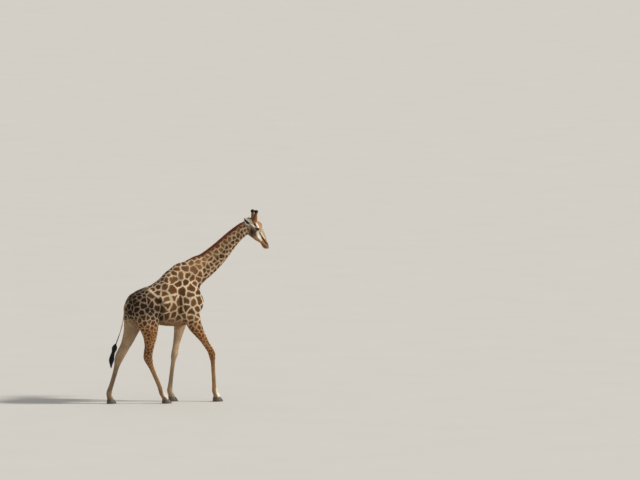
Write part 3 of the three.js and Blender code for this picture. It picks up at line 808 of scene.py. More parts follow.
def skin_net(sizes):
    """The body's net and the head's finer one, joined round the neck, with the finest part at the face."""
    names = [name for name in LIMBS if name != "head"]
    tubes = [closed(LIMBS[name].rings(0, 1, count=90, around=48)) for name in names]
    body = evened(tubes, sizes.body_step)
    face = LIMBS["head"].rings(0, 1, count=110, around=80)
    upper = LIMBS["neck"].rings(NECK_JOIN - 0.1, 1, count=30, around=64)
    balls = [closed(lid_rings(sign)) for sign in SIDES.values()]
    head = evened([closed(from_head(face)), closed(upper), *balls], sizes.head_step)

    middle, along = (Vector(v[0]) for v in LIMBS["neck"].section(np.array([NECK_JOIN]))[:2])
    net = bmesh.new()
    for mesh, place, keeps_far in ((body, middle, False), (head, middle + along * sizes.body_step, True)):
        half = bmesh.new()
        half.from_mesh(mesh)
        geometry = half.verts[:] + half.edges[:] + half.faces[:]
        bmesh.ops.bisect_plane(
            half, geom=geometry, plane_co=place, plane_no=along,
            clear_inner=keeps_far, clear_outer=not keeps_far,
        )
        rim = [v for v in half.verts if v.is_boundary]
        bmesh.ops.remove_doubles(half, verts=rim, dist=sizes.head_step * 0.3)
        half.to_mesh(mesh)
        half.free()
        net.from_mesh(mesh)
        bpy.data.meshes.remove(mesh)
    bmesh.ops.bridge_loops(net, edges=[edge for edge in net.edges if edge.is_boundary])
    for near in (near_eye(0.048), near_eye(0.038), near_lips):
        points = to_head(np.array([v.co for v in net.verts]))
        net.verts.index_update()
        fine = near(mirrored(points))
        edges = [e for e in net.edges if fine[e.verts[0].index] and fine[e.verts[1].index]]
        bmesh.ops.subdivide_edges(net, edges=edges, cuts=1, use_grid_fill=True)
    if any(edge.is_boundary for edge in net.edges):
        raise RuntimeError("the skin's net is not closed")
    bmesh.ops.recalc_face_normals(net, faces=net.faces[:])
    mesh = bpy.data.meshes.new("skin")
    net.to_mesh(mesh)
    net.free()
    return mesh


# The face in the head's frame, for points whose y is taken as positive.

def near_eye(reach):
    """A test of which points lie within the reach of the eye."""
    return lambda points: np.linalg.norm(points - EYE_PLACE, axis=1) < reach


def near_lips(points):
    """Which points lie near the lips or the nostril."""
    x, _, z = points.T
    mouth = (x > 0.48) & (np.abs(z - mouth_height(x)) < 0.014)
    return mouth | (to_segment(points, *NOSTRIL) < 0.026)


def mouth_height(x):
    """Where the lips meet."""
    return -0.026 - 0.07 * (0.67 - x)


def to_path(points, path):
    """Distance to a line through several points, where sideways counts little."""
    flat = np.array((1, 0.3, 1))
    return np.min([to_segment(points * flat, a * flat, b * flat) for a, b in zip(path, path[1:])], 0)


def along_path(points, path, half):
    """1 on a line through several points, and less with the distance from it."""
    return np.exp(-((to_path(points, path) / half) ** 2))


def to_segment(points, start, end):
    """Distance to a straight line between two points."""
    start, way = np.array(start), np.array(end) - start
    share = np.clip((points - start) @ way / (way @ way), 0, 1)
    return np.linalg.norm(points - start - share[:, None] * way, axis=1)


NOSTRIL = ((0.582, 0.046, 0.037), (0.619, 0.045, 0.01))
NOSTRIL_WIDTH, NOSTRIL_DEPTH = 0.006, 0.013
LID_SLANT = math.radians(-32)
LID_HALF_LENGTH, LID_ABOVE, LID_BELOW = 0.0228, 0.0125, 0.0085
LENS_POWER = 0.9  # how full the curve of a lid's rim is
SOCKET = 0.82  # where the skin lies behind the opening, as a share of the ball's radius


def lid_gap(points):
    """How far each point is outside the opening between the lids, on the eyeball, and its place there."""
    arm = points - EYE_PLACE
    x, y, z = (unit(arm) * EYE_RADIUS).T
    c, s = math.cos(LID_SLANT), math.sin(LID_SLANT)
    x, z = x * c - z * s, x * s + z * c
    lens = 1 - (x / LID_HALF_LENGTH) ** 2
    lens = np.sign(lens) * np.abs(lens) ** LENS_POWER
    gap = np.maximum(z - LID_ABOVE * lens, -LID_BELOW * lens - z)
    return np.where((y > 0) & (np.linalg.norm(arm, axis=1) < 0.055), gap, 1), z, x


def shape_face(points, normals):
    """Lids, nostrils and lips."""
    local = to_head(points)
    mirror = mirrored(local)
    x, _, z = mirror.T
    gap, height, aside = lid_gap(mirror)
    out = 0.0009 * bell(gap, 0.0022, 0.0018) - 0.0009 * bell(gap, 0.0066, 0.0016) * (height > 0)
    out -= 0.0008 * bell(gap, 0.006, 0.0015) * (height <= 0)
    out *= step(1.1, 0.9, np.abs(aside) / LID_HALF_LENGTH)
    hole = to_segment(mirror, *NOSTRIL)
    out += 0.003 * bell(hole, 0.012, 0.004) - NOSTRIL_DEPTH * np.exp(-((hole / NOSTRIL_WIDTH) ** 2))
    above = z - mouth_height(x)
    front = step(0.49, 0.53, x) * step(0.9, 0.7, x)
    out -= front * 0.0045 * bell(above, 0, 0.0026)
    out += front * (0.0012 * bell(above, 0.008, 0.006) + 0.001 * bell(above, -0.009, 0.006))
    points = points + normals * out[:, None]
    chin = 0.009 * step(0.61, 0.67, x) * step(0, -0.008, above) * (z > -0.2)
    points = points + way_from_head((-1.0, 0, 0)) * chin[:, None]
    open_lids = step(0.0012, -0.0012, gap)
    centre = from_head(eye_middle(np.sign(local[:, 1])))
    arm = points - centre
    radius = np.linalg.norm(arm, axis=1)
    deep = radius + (EYE_RADIUS * SOCKET - radius) * open_lids
    return centre + arm * (deep / radius)[:, None]


def shape_folds(points, normals):
    """Creases, the ribs, and the hollows between bone and tendon on the legs."""
    local = points - SHIFT
    out = np.zeros(len(points))
    for depth, half, *path in FOLDS.values():
        out -= depth * along_path(mirrored(local, -1), path, half)
    x, y, z = local.T
    flank = step(-0.34, -0.2, x) * step(0.26, 0.16, x) * bell(z, 1.93, 0.2) * (np.abs(y) > 0.15)
    out += flank * 0.0008 * np.sin(2 * np.pi * (x + 0.3 * z) / 0.062)
    for name in LEGS:
        middle, _, sideways, upper, reach = LIMBS[name].section(LIMBS[name].closest(points))
        back, aside = dot(points - middle, upper), np.abs(dot(points - middle, sideways))
        near = (np.hypot(back, aside) < 1.4 * reach.max(1)) * (aside > 0.4 * reach[:, 2])
        shank = step(0.28, 0.4, z) * step(0.86, 0.76, z)
        out -= near * shank * 0.0045 * bell(back, -0.013, 0.009)
        if name.startswith("hind"):
            thin = step(0.92, 1.0, z) * step(1.2, 1.12, z)
            out -= near * thin * 0.011 * bell(back, -0.052, 0.02)
    return points + normals * out[:, None]


def build_skin(sizes):
    """The skin's mesh: the net laid on the flesh, then the folds, the face and the ears."""
    mesh = skin_net(sizes)
    points = points_of(mesh)
    edges = numbers_of(mesh.edges, "vertices", 2, np.int32)
    x, _, z = (points - SHIFT).T
    blunt = step(0.62, 0.74, x) * step(1.58, 1.72, z) * step(2.36, 2.16, z)
    blunt += step(-0.64, -0.74, x) * step(1.5, 1.6, z)
    body = step(1.2, 1.4, z) * step(0.2, 0.03, z - 2.2 - 0.7 * x)
    face = step(0.03, 0, Flesh(points).parts(points)["head"])
    depth = sizes.coat_depth + (sizes.face_depth - sizes.coat_depth) * face
    points = settle(points, depth, blunt)
    points -= normals_of(mesh) * (depth * blunt)[:, None]
    points = eased(points, edges, 24, 0.5 * blunt)
    points = eased(points, edges, 2, 0.3 * (1 - blunt))
    points = settle(points, depth, blunt, rounds=1)
    chest = step(0.5, 0.62, x) * step(2.0, 2.15, z) * step(2.62, 2.45, z)
    points = eased(points, edges, 8, 0.5 * body)
    points = eased(points, edges, 24, 0.5 * chest)
    set_points(mesh, points)
    points = shape_folds(points, normals_of(mesh))
    set_points(mesh, points)
    set_points(mesh, shape_face(points, normals_of(mesh)))
    net = bmesh.new()
    net.from_mesh(mesh)
    for side in SIDES:
        ear = mesh_from("ear", *closed(ear_rings(side, EAR_RINGS, EAR_AROUND)))
        net.from_mesh(ear)
        bpy.data.meshes.remove(ear)
    net.to_mesh(mesh)
    net.free()
    face_out(mesh)
    return mesh


# ---- Where a place on the skin belongs ----

PLACES = [*LIMB_NAMES, "ear_right", "ear_left"]
COAT_RUNS = {"trunk": -1, "neck": -1, "head": -1}  # towards the start of the limb, where not towards its end
# dark carries painted shade as well as darker colour, and pale carries painted highlights as well as the
# white of the face, ears and feet.
MARKS = ("edge", "tone", "faint", "warm", "dark", "rust", "pale", "ink", "bare", "hair")


class Map:
    """What the markings and the coat need to know at each point of the skin.

    share is how far it belongs to each limb, place the limb or ear that it belongs to most, t how far along
    that it lies, turn the angle round that (0 on the upper side), lie the way of the hair, and flow a place
    in a space drawn out along the hair.
    """

    def __init__(self, mesh):
        self.points, self.normals = points_of(mesh), normals_of(mesh)
        count = len(self.points)
        ear = EAR_RINGS * EAR_LOOP
        self.share = np.zeros((count, len(LIMB_NAMES)))
        self.t, self.turn = np.zeros(count), np.zeros(count)
        self.lie, self.flow = np.zeros((count, 3)), np.zeros((count, 3))
        flesh = Flesh(self.points)
        for k, (name, gap) in enumerate(flesh.parts(self.points).items()):
            self.share[:, k] = np.exp(-np.maximum(gap, 0) / 0.02)
        self.share /= np.maximum(self.share.sum(1, keepdims=True), 1e-9)
        self.place = self.share.argmax(1)
        for k, name in enumerate(LIMB_NAMES):
            near, t = flesh.feet[name]
            middle, along, sideways, upper, _ = LIMBS[name].section(t)
            arm = seen_by(name, self.points[near]) - middle
            aside, up = dot(arm, sideways), dot(arm, upper)
            length = np.linalg.norm(np.diff(LIMBS[name].middle, axis=0), axis=1).sum()
            run = along * COAT_RUNS.get(name, 1)
            if name == "head":
                run = way_from_head(run)
            if name == "trunk":
                run = run - np.array((0, 0, 0.45))  # the coat hangs a little on the flanks
            self.lie[near] += run * self.share[near, k][:, None]
            own = self.place[near] == k
            self.t[near[own]], self.turn[near[own]] = t[own], np.arctan2(aside, up)[own]
            self.flow[near[own]] = np.stack([0.12 * t * length + k, aside, up], 1)[own]
        for k, side in enumerate(SIDES):
            own = np.arange(count - ear * (len(SIDES) - k), count - ear * (len(SIDES) - k - 1))
            rings, around = np.divmod(np.arange(ear), EAR_LOOP)
            self.place[own] = PLACES.index("ear_" + side)
            self.share[own] = 0
            self.t[own], self.turn[own] = rings / (EAR_RINGS - 1), around / EAR_LOOP
            root, tip, _ = (np.array(v, float) for v in EARS[side])
            self.lie[own] = unit(tip - root)
            self.flow[own] = np.stack([self.t[own] * 0.03, self.turn[own] * 0.25, self.t[own] * 0], 1)
        ranked = np.sort(self.share, axis=1)
        self.calm = step(0.02, 0.3, ranked[:, -1] - ranked[:, -2])  # 0 where two limbs meet
        self.lie -= self.normals * dot(self.lie, self.normals)[:, None]
        self.lie = unit(self.lie)

    def within(self, *names):
        """Share of each point that belongs to these limbs."""
        return sum(self.share[:, LIMB_NAMES.index(name)] for name in names)

    def ear_side(self):
        """0 in the middle of an ear's back or hollow, 1 at its rims."""
        return np.abs(self.turn % 0.5 - 0.25) / 0.25


def patch_spacing(sizes, skin):
    """From middle to middle of neighbouring patches at each point."""
    x, _, z = (skin.points - SHIFT).T
    full = sizes.patch_spacing
    back = step(0.1, 0.02, top_line(x) - z) * (skin.within("trunk") > 0.5)
    body = full * (1 - 0.1 * bell(x, -0.1, 0.25)) * (1 - 0.28 * step(-0.3, -0.55, x)) * (1 - 0.35 * back)
    body *= 1 - 0.3 * step(1.62, 1.52, z)
    neck = full * np.interp(skin.t, (0.2, 0.45, 0.75, 1), (0.86, 0.66, 0.55, 0.5))
    heights = (0, 0.7, 1, 1.3, 1.6, 2)
    fore = full * np.interp(z, heights, (0.28, 0.3, 0.34, 0.44, 0.7, 0.95))
    hind = full * np.interp(z, heights, (0.28, 0.3, 0.34, 0.38, 0.56, 0.78))
    spacing = skin.within("trunk", "tail") * body + skin.within("neck") * neck
    spacing += skin.within("fore_right", "fore_left") * fore + skin.within("hind_right", "hind_left") * hind
    spacing += skin.within("head") * full * 0.23
    return np.where(skin.share.sum(1) > 0, spacing, full * 0.25)


def top_line(x):
    """Height of the back above each x of the trunk."""
    limb = LIMBS["trunk"]
    middle, _, _, _, reach = limb.section(limb.fine)
    return np.interp(x, middle[:, 0] - SHIFT[0], middle[:, 2] + reach[:, 0])


CANDIDATES = 60000  # points tried as middles of patches
CLOSEST = 0.78  # of two middles, as a share of their spacing
NEIGHBOURS = 6  # patches that may border a point
WAVES = ((0.03, 7), (0.014, 21), (0.004, 64))  # how far and how closely the borders waver


def spread(points, spacing, rng):
    """Points picked at random, none nearer to another than its spacing allows."""
    chosen = np.empty((0, 3))
    gaps = np.empty(0)
    for i in rng.permutation(len(points))[:CANDIDATES]:
        least = spacing[i] * CLOSEST
        if len(chosen) == 0 or (((chosen - points[i]) ** 2).sum(1) > (0.5 * (gaps + least)) ** 2).all():
            chosen = np.append(chosen, points[i:i + 1], 0)
            gaps = np.append(gaps, least)
    return chosen


def patches(skin, spacing, rng):
    """Distance of each point inside the border between its patch and the next, and the patch's own number."""
    seeds = spread(skin.points, spacing, rng)
    tree = kdtree.KDTree(len(seeds))
    for i, seed in enumerate(seeds):
        tree.insert(seed, i)
    tree.balance()
    wave = np.array([
        sum((far * noise.noise_vector(p * close) for far, close in WAVES), Vector())
        for p in map(Vector, skin.points.tolist())
    ])
    width = np.clip(spacing / 0.1, 0.35, 1)
    moved = skin.points + wave * width[:, None]
    near = np.array([[entry[1] for entry in tree.find_n(p, NEIGHBOURS)] for p in moved.tolist()])
    first = seeds[near[:, 0]]
    own = ((moved - first) ** 2).sum(1)
    inside = np.full(len(moved), 0.2)
    for k in range(1, NEIGHBOURS):
        other = seeds[near[:, k]]
        border = (((moved - other) ** 2).sum(1) - own) / (2 * np.linalg.norm(other - first, axis=1))
        inside = smooth_least(inside, border, 0.012 * width)
    return inside, near[:, 0], len(seeds)


HORN_ROOT = np.array((OSSICONE[0][0], -OSSICONE[1][1], OSSICONE[1][2]))


def face_marks(skin):
    """Pale, black and warm places of the head, from where a point stands in the side view of it."""
    flat = to_head(skin.points)[:, (0, 2)]
    x, z = flat.T

    def spot(place, *spreads):
        return np.exp(-(((flat - place) / spreads) ** 2).sum(1))

    def streak(start, end, half):
        return np.exp(-((to_segment(flat, start, end) / half) ** 2))

    gap, _, _ = lid_gap(mirrored(to_head(skin.points)))
    mouth = z - mouth_height(x)
    pale = 0.9 * streak((0.07, 0.155), (0.205, 0.103), 0.019)
    pale += 0.95 * streak((0.03, 0.036), (0.14, 0.058), 0.015)
    pale += 0.95 * streak((0.262, 0.02), (0.36, 0.002), 0.03) + 0.8 * streak((0.36, 0), (0.45, -0.014), 0.022)
    pale += 0.7 * streak((0.34, 0.082), (0.47, 0.06), 0.015) + 0.3 * spot((0.65, 0.005), 0.035, 0.03)
    cheek = np.exp(-(((flat - (0.155, -0.05)) / (0.14, 0.085)) ** 4).sum(1))
    ink = 0.85 * streak((0.305, 0.054), (0.43, 0.036), 0.01)
    ink += 0.9 * streak((0.43, 0.034), (0.57, 0.018), 0.02)
    ink += 0.8 * streak((-0.02, 0.12), (0.14, 0.082), 0.027)
    ink += 0.55 * cheek + 0.25 * spot((0.15, -0.045), 0.08, 0.05)
    ink += 0.8 * streak((0.172, 0.05), (0.235, 0.066), 0.009) + 0.9 * step(0.0135, 0.005, gap)
    ink += 0.4 * streak((0.52, -0.045), (0.6, -0.04), 0.014)
    bare = step(0.0048, 0.0012, gap) + 0.95 * streak(*np.delete(NOSTRIL, 1, axis=1), 0.0062)
    bare += bell(mouth, 0, 0.004) * step(0.5, 0.54, x)
    jaw = streak((0.17, -0.16), (0.46, -0.07), 0.035)
    crown = spot((0.19, 0.21), 0.1, 0.075)
    warm = jaw + 0.9 * crown + 0.5 * step(0.3, 0.5, x) + 0.25
    dark = 0.95 * cheek + 0.5 * step(0.4, 0.22, x) + 0.2 - 0.8 * jaw - 0.7 * crown
    rust = 0.6 * streak((0.5, -0.062), (0.61, -0.05), 0.022) + 0.3 * jaw + 0.22 * step(0.5, 0.58, x)
    return pale, ink, bare, warm, np.clip(dark, 0, 1), rust


def mark_skin(mesh, skin, sizes, seed=11):
    """Works out the markings, painted shade and highlights at each point of the skin, and keeps them on its
    mesh.
    """
    rng = np.random.default_rng(seed)
    spacing = patch_spacing(sizes, skin)
    inside, number, count = patches(skin, spacing, rng)
    local = skin.points - SHIFT
    x, y, z = local.T
    mirror = mirrored(local, -1)
    legs, head, neck = skin.within(*LEGS), skin.within("head"), skin.within("neck")
    tail, trunk = skin.within("tail"), skin.within("trunk")

    def along(fold, half, last=None):
        """1 along a fold of the body, up to one of its points."""
        return along_path(mirror, FOLDS[fold][2:last], half) * (1 - head) * (1 - neck)

    # The rump is darkened as painted shade, where it turns away from the key light; its lines are thinner
    # too.
    rump = step(-0.22, -0.45, x - 0.5 * (2.1 - z)) * step(1.5, 1.85, z) * (1 - head) * (1 - 0.7 * tail)
    line = np.interp(spacing / sizes.patch_spacing, (0.2, 0.35, 0.6, 1), (0.0045, 0.0075, 0.0115, 0.016))
    line *= (1 - 0.3 * rump) * (0.7 + 0.6 * rng.random(count)[number])
    low = step(0.95, 0.5, z) * legs
    # The inner sides of the legs have a fainter, greyer pattern and some painted shade; on the far legs these
    # sides face the camera.
    inner = step(-0.1, 0.5, -skin.normals[:, 1] * np.sign(y)) * legs * step(1.75, 1.5, z)
    outer = legs * step(1.8, 1.4, z) * (1 - inner)
    # The fronts of the legs, where the key light falls from the front: they are paler, partly their own pale
    # edge and partly a painted highlight.
    front = step(0.3, 0.9, skin.normals[:, 0]) * legs * step(1.6, 1.3, z)
    belly = step(1.72, 1.5, z) * trunk
    # A painted highlight along the ridge from the hip down to the ribs: paler, with no pattern and no painted
    # shade.
    ridge = along("hip to ribs", 0.021, last=4)
    faint = np.maximum(np.maximum(0.92 * low, 0.85 * inner), np.maximum(0.6 * belly, ridge))
    faint = np.maximum(faint, 0.7 * tail * step(0.1, 0.3, skin.t) + 0.75 * head)
    # The crest of the neck has a slightly fainter pattern, and below a golden warmth that paints the sunlight
    # on the top of the neck.
    crest = neck * bell(np.abs(skin.turn), 0.9, 0.5) * step(0.05, 0.3, skin.t)
    faint = np.maximum(faint, 0.13 * crest)
    pale, ink, bare, warm, dark, rust = (head * v for v in face_marks(skin))
    warm += outer * (0.9 - 0.5 * front) + 0.5 * inner + 0.8 * belly + 0.15 * trunk + 0.7 * tail
    # The crest's golden warmth is painted sunlight.
    warm += 0.25 * neck + 0.4 * crest
    throat = bell(np.abs(skin.turn), np.pi, 0.9) * neck
    # White pasterns; on the far legs they are weaker, as painted shade.
    pastern = step(-0.45, 0.3, skin.normals[:, 0]) * legs * step(0.36, 0.16, z) * (0.35 + 0.65 * (y < 0))
    # The leg fronts are paler, more on the near legs, as painted highlight over their own pale edge; the hip
    # ridge gets a painted highlight.
    pale += (0.3 + 0.2 * (y < 0)) * front + 0.8 * pastern + 0.4 * ridge
    ink += tail * step(0.6, 0.95, skin.t)
    # Painted shade in a band just below the groove along the neck, under the muscle that stands over it.
    groove = along_path(mirror + (0, 0, 0.025), FOLDS["neck groove"][2:], 0.045) * neck
    # Painted shade on the rump, in the hollow of the flank, in the crease behind the elbow and in the neck's
    # band.
    dark += rump + 0.6 * along("flank", 0.08) + 0.6 * along("behind the elbow", 0.035) + 0.55 * groove
    # Painted shade along the middle of the neck's side, but not on the throat, and behind the jaw near the
    # head.
    dark += 0.4 * neck * step(0.3, 0.7, skin.t) * (1 - throat) + 0.35 * neck * step(0.75, 1, skin.t)
    # Darker patches at the rear of the trunk behind the ribs: partly their own colour and partly painted
    # shade.
    dark += 0.35 * step(0.1, -0.25, x) * step(1.2, 1.5, z) * trunk * (1 - rump)
    # The lit hip ridge takes no painted shade; the lower legs turn greyer, the hind ones more and their
    # fronts less.
    dark = dark * (1 - 0.95 * ridge) + (0.45 + 0.3 * (x < 0)) * low * (1 - 0.6 * front)
    hock = legs * (x < 0.1) * bell(z, 1.0, 0.2) * (1 - inner) * (1 - front)
    # Painted shade on the inner sides of the legs, more on the hind ones, and darker outer backs of the hind
    # legs about the hocks.
    dark += (0.15 + 0.15 * (x < 0)) * inner + 0.5 * hock
    rust += 0.85 * step(0.42, 0.2, np.abs(skin.turn)) * neck * step(0.3, 0.45, skin.t)
    rust += 0.16 * outer * step(0.4, 0.9, z) * (1 - front) + 0.2 * throat + 0.25 * belly
    root = np.exp(-(((mirror - HORN_ROOT) / (0.07, 0.05, 0.07)) ** 4).sum(1))
    pale, ink, dark = pale * (1 - root), ink * (1 - 0.4 * root), dark * (1 - root)
    warm, rust = np.maximum(warm, root), np.maximum(rust * (1 - root), 0.5 * root)
    ear = skin.share.sum(1) == 0
    hollow = ear * (skin.turn > 0.5)
    side = skin.ear_side()
    white = hollow * step(0.7, 0.8, skin.turn)
    pale = np.where(ear, np.maximum(step(0.66, 0.9, side), white), pale)
    heart = 0.9 * hollow * step(0.85, 0.5, side) * (1 - white)
    ink = np.where(ear, heart + 0.4 * (1 - hollow) * step(0.7, 0.2, side), ink)
    faint, dark, rust = np.where(ear, 0.8, faint), np.where(ear, 0.3, dark), np.where(ear, 0, rust)
    warm = np.where(ear, 0.5 + 0.5 * step(0.5, 0.1, skin.t), warm)
    tone = 0.5 + 0.32 * rng.standard_normal(count)[number] + 0.35 * outer
    marks = dict(tone=tone, faint=faint, warm=warm, dark=dark, rust=rust, pale=pale, ink=ink, bare=bare)
    give_values(
        mesh, edge=inside - line, hair=np.full(len(x), 0.5), flow=skin.flow, calm=skin.calm,
        **{name: np.clip(value, 0, 1) for name, value in marks.items()},
    )


# ---- Materials ----

class Net:
    """Short ways to add and join the nodes of a shader."""

    def __init__(self, tree):
        self.tree = tree

    def add(self, kind, **settings):
        made = self.tree.nodes.new("ShaderNode" + kind)
        for name, value in settings.items():
            setattr(made, name, value)
        return made

    def join(self, value, socket):
        """Sets a socket to a number or an opaque colour, or links another socket to it."""
        if isinstance(value, bpy.types.NodeSocket):
            self.tree.links.new(value, socket)
        else:
            socket.default_value = (*value, 1) if socket.type == "RGBA" else value

    def math(self, operation, *values, clamp=False):
        made = self.add("Math", operation=operation, use_clamp=clamp)
        for value, socket in zip(values, made.inputs):
            self.join(value, socket)
        return made.outputs[0]

    def blend(self, share, low, high):
        """From one colour to another."""
        made = self.add("Mix", data_type="RGBA")
        for value, socket in zip((share, low, high), (made.inputs[0], made.inputs[6], made.inputs[7])):
            self.join(value, socket)
        return made.outputs[2]

    def between(self, value, low, high, start=0.0, end=1.0):
        """A smooth rise from start to end as the value goes from low to high."""
        made = self.add("MapRange", interpolation_type="SMOOTHSTEP")
        for number, socket in zip((value, low, high, start, end), made.inputs):
            self.join(number, socket)
        return made.outputs[0]

    def kept(self, name, vector=False):
        """An attribute kept on the mesh."""
        return self.add("Attribute", attribute_name=name).outputs["Vector" if vector else "Fac"]

    def grain(self, scale, place=None, detail=2.0):
        """Noise from 0 to 1."""
        made = self.add("TexNoise")
        self.join(scale, made.inputs["Scale"])
        self.join(detail, made.inputs["Detail"])
        self.join(place or self.add("TexCoord").outputs["Object"], made.inputs["Vector"])
        return made.outputs["Fac"]

    def lit(self, colour, light):
        """A colour made lighter or darker."""
        made = self.add("VectorMath", operation="SCALE")
        self.join(colour, made.inputs[0])
        self.join(light, made.inputs["Scale"])
        return made.outputs[0]

    def group(self, build, **values):
        """Places a shared group, built when it is first asked for, with this material's own values."""
        name = build.__name__.replace("_", " ")
        tree = bpy.data.node_groups.get(name) or build(name)
        made = self.add("Group", node_tree=tree)
        for label, value in values.items():
            self.join(value, made.inputs[label])
        return made.outputs

    def bump(self, height, distance, shader, strength=1.0):
        """Lets a height raise and sink the surface of a material."""
        made = self.add("Bump")
        made.inputs["Distance"].default_value = distance
        made.inputs["Strength"].default_value = strength
        self.join(height, made.inputs["Height"])
        self.join(made.outputs["Normal"], shader["Normal"])


def shader_group(name, inputs, outputs):
    """An empty node group, with its input and output nodes."""
    tree = bpy.data.node_groups.new(name, "ShaderNodeTree")
    for label, kind in inputs:
        tree.interface.new_socket(label, in_out="INPUT", socket_type="NodeSocket" + kind)
    for label, kind in outputs:
        tree.interface.new_socket(label, in_out="OUTPUT", socket_type="NodeSocket" + kind)
    net = Net(tree)
    start, end = tree.nodes.new("NodeGroupInput"), tree.nodes.new("NodeGroupOutput")
    return net, start.outputs, end.inputs


COLOURS = ("cream", "tan", "patch", "patch_deep", "dusk", "dusk_line", "mane", "pale", "skin")


def giraffe_markings(name):
    """The coat's pattern and colours, with its painted shade and highlights, from the marks kept on skin and
    tufts.
    """
    net, given, out = shader_group(
        name, [(colour, "Color") for colour in COLOURS] + [("ragged", "Float")],
        [("Colour", "Color"), ("Bare", "Float")],
    )
    ragged = net.math("MULTIPLY", net.math("SUBTRACT", net.grain(60, detail=4), 0.5), given["ragged"])
    edge = net.math("ADD", net.kept("edge"), ragged)
    mask = net.between(edge, -0.004, 0.0035)
    middle = net.between(edge, 0.004, 0.045)
    shade = net.math("MULTIPLY_ADD", net.kept("tone"), 0.75, net.math("MULTIPLY", middle, 0.4), clamp=True)
    patch = net.blend(shade, given["patch"], given["patch_deep"])
    clouds = net.between(net.grain(6, detail=3), 0.3, 0.7, 0.86, 1.14)
    # dark takes the patches towards dusk and the ground towards dusk line; it holds painted shade as well as
    # the darker colour of the face and legs.
    dark = net.kept("dark")
    patch = net.blend(dark, patch, given["dusk"])
    ground = net.blend(net.kept("warm"), given["cream"], given["tan"])
    ground = net.blend(net.math("MULTIPLY", dark, 0.85), ground, given["dusk_line"])
    solid = net.math("SUBTRACT", 1.0, net.kept("faint"))
    pattern = net.math("MULTIPLY", mask, solid)
    colour = net.blend(pattern, ground, patch)
    colour = net.blend(net.kept("rust"), colour, given["mane"])
    frayed = net.math("MULTIPLY_ADD", net.grain(110, detail=3), 0.5, -0.25)
    for mark, label in (("pale", "pale"), ("ink", "dusk")):
        share = net.between(net.math("ADD", net.kept(mark), frayed), 0.12, 0.82)
        share = net.math("MULTIPLY", share, net.between(net.kept(mark), 0, 0.2))
        colour = net.blend(share, colour, given[label])
    colour = net.blend(net.kept("bare"), colour, given["skin"])
    flecks = net.between(net.grain(70), 0.3, 0.7, 0.93, 1.07)
    hairs = net.math("MULTIPLY_ADD", net.kept("hair"), 0.36, 0.82)
    light = net.math("MULTIPLY", net.math("MULTIPLY", clouds, flecks), hairs)
    net.join(net.lit(colour, light), out["Colour"])
    net.join(net.kept("bare"), out["Bare"])
    return net.tree


def new_material(name, roughness, **sockets):
    """A material with its shader's plain values set, and the means to add nodes."""
    made = bpy.data.materials.new(name)
    made.use_nodes = True
    shader = made.node_tree.nodes["Principled BSDF"]
    shader.inputs["Roughness"].default_value = roughness
    for label, value in sockets.items():
        shader.inputs[label.replace("_", " ")].default_value = value
    return made, Net(made.node_tree), shader.inputs


def coat_furrows(name):
    """Fine furrows that run with the lie of the coat, as a height."""
    net, given, out = shader_group(name, [("scale", "Float")], [("Height", "Float")])
    fine = net.grain(given["scale"], net.kept("flow", vector=True), detail=3)
    net.join(net.math("MULTIPLY", fine, net.kept("calm")), out["Height"])
    return net.tree


def patterned(name, ragged, roughness, furrows=0.0):
    """A material of the coat: the markings, and on the skin the furrows between hairs."""
    colours = bpy.context.scene.giraffe_colours
    made, net, shader = new_material(
        name, roughness, Specular_IOR_Level=0.14, Sheen_Weight=0.05, Sheen_Roughness=0.4
    )
    marks = net.group(giraffe_markings, ragged=ragged, **{name: getattr(colours, name) for name in COLOURS})
    net.join(marks["Colour"], shader["Base Color"])
    net.join(net.between(marks["Bare"], 0.3, 1, roughness, 0.42), shader["Roughness"])
    if furrows:
        net.bump(net.group(coat_furrows, scale=420)["Height"], furrows, shader, strength=0.8)
    return made


def hair_tone(name):
    """Colour of long hair from root to tip, with paler hairs among the rest."""
    net, given, out = shader_group(
        name, [("root", "Color"), ("tip", "Color"), ("pale", "Color"), ("pale_share", "Float")],
        [("Colour", "Color")],
    )
    hair = net.kept("hair")
    colour = net.blend(net.kept("along"), given["root"], given["tip"])
    pale = net.math("GREATER_THAN", net.math("ADD", hair, given["pale_share"]), 1.0)
    colour = net.blend(pale, colour, given["pale"])
    clouds = net.between(net.grain(14), 0.3, 0.7, 0.8, 1.2)
    light = net.math("MULTIPLY", net.math("MULTIPLY_ADD", hair, 0.8, 0.55), clouds)
    net.join(net.lit(colour, light), out["Colour"])
    return net.tree


def long_hair(name, root, tip, pale=None, pale_share=0.0, roughness=0.55):
    """A material for long hair."""
    made, net, shader = new_material(name, roughness, Specular_IOR_Level=0.25, Sheen_Weight=0.1)
    tone = net.group(hair_tone, root=root, tip=tip, pale=pale or tip, pale_share=pale_share)
    net.join(tone["Colour"], shader["Base Color"])
    return made


def scaled(colour, share):
    """A colour made darker or lighter."""
    return tuple(share * c for c in colour)


# ---- Hair and other pieces ----

def placed(piece, material, slot, *nodes):
    """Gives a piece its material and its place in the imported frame."""
    piece.data.materials.append(material)
    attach(piece, "root")
    if nodes:
        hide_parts(*nodes)
    return piece


class Roots:
    """Places on a mesh where hairs grow, spread evenly by the weight given at its points."""

    def __init__(self, mesh, weight, count, seed):
        mesh.calc_loop_triangles()
        corners = numbers_of(mesh.loop_triangles, "vertices", 3, np.int32)
        a, b, c = np.moveaxis(points_of(mesh)[corners], 1, 0)
        heap = np.cumsum(np.linalg.norm(np.cross(b - a, c - a), axis=1) * weight[corners].min(1))
        self.rng = np.random.default_rng(seed)
        pick = np.searchsorted(heap, (np.arange(count) + self.rng.random(count)) / count * heap[-1])
        first, second = np.sqrt(self.rng.random(count)), self.rng.random(count)
        self.count = count
        self.corners = corners[np.minimum(pick, len(corners) - 1)]
        self.shares = np.stack([1 - first, first * (1 - second), first * second], 1)

    def of(self, values):
        """Values at the mesh's points, brought to the roots."""
        return np.einsum("nk,nk...->n...", self.shares, values[self.corners])


SPOT_SIZE, SPOTS_SPAN = 0.003, 0.996  # on the map: one strand's own spot, and all their corners


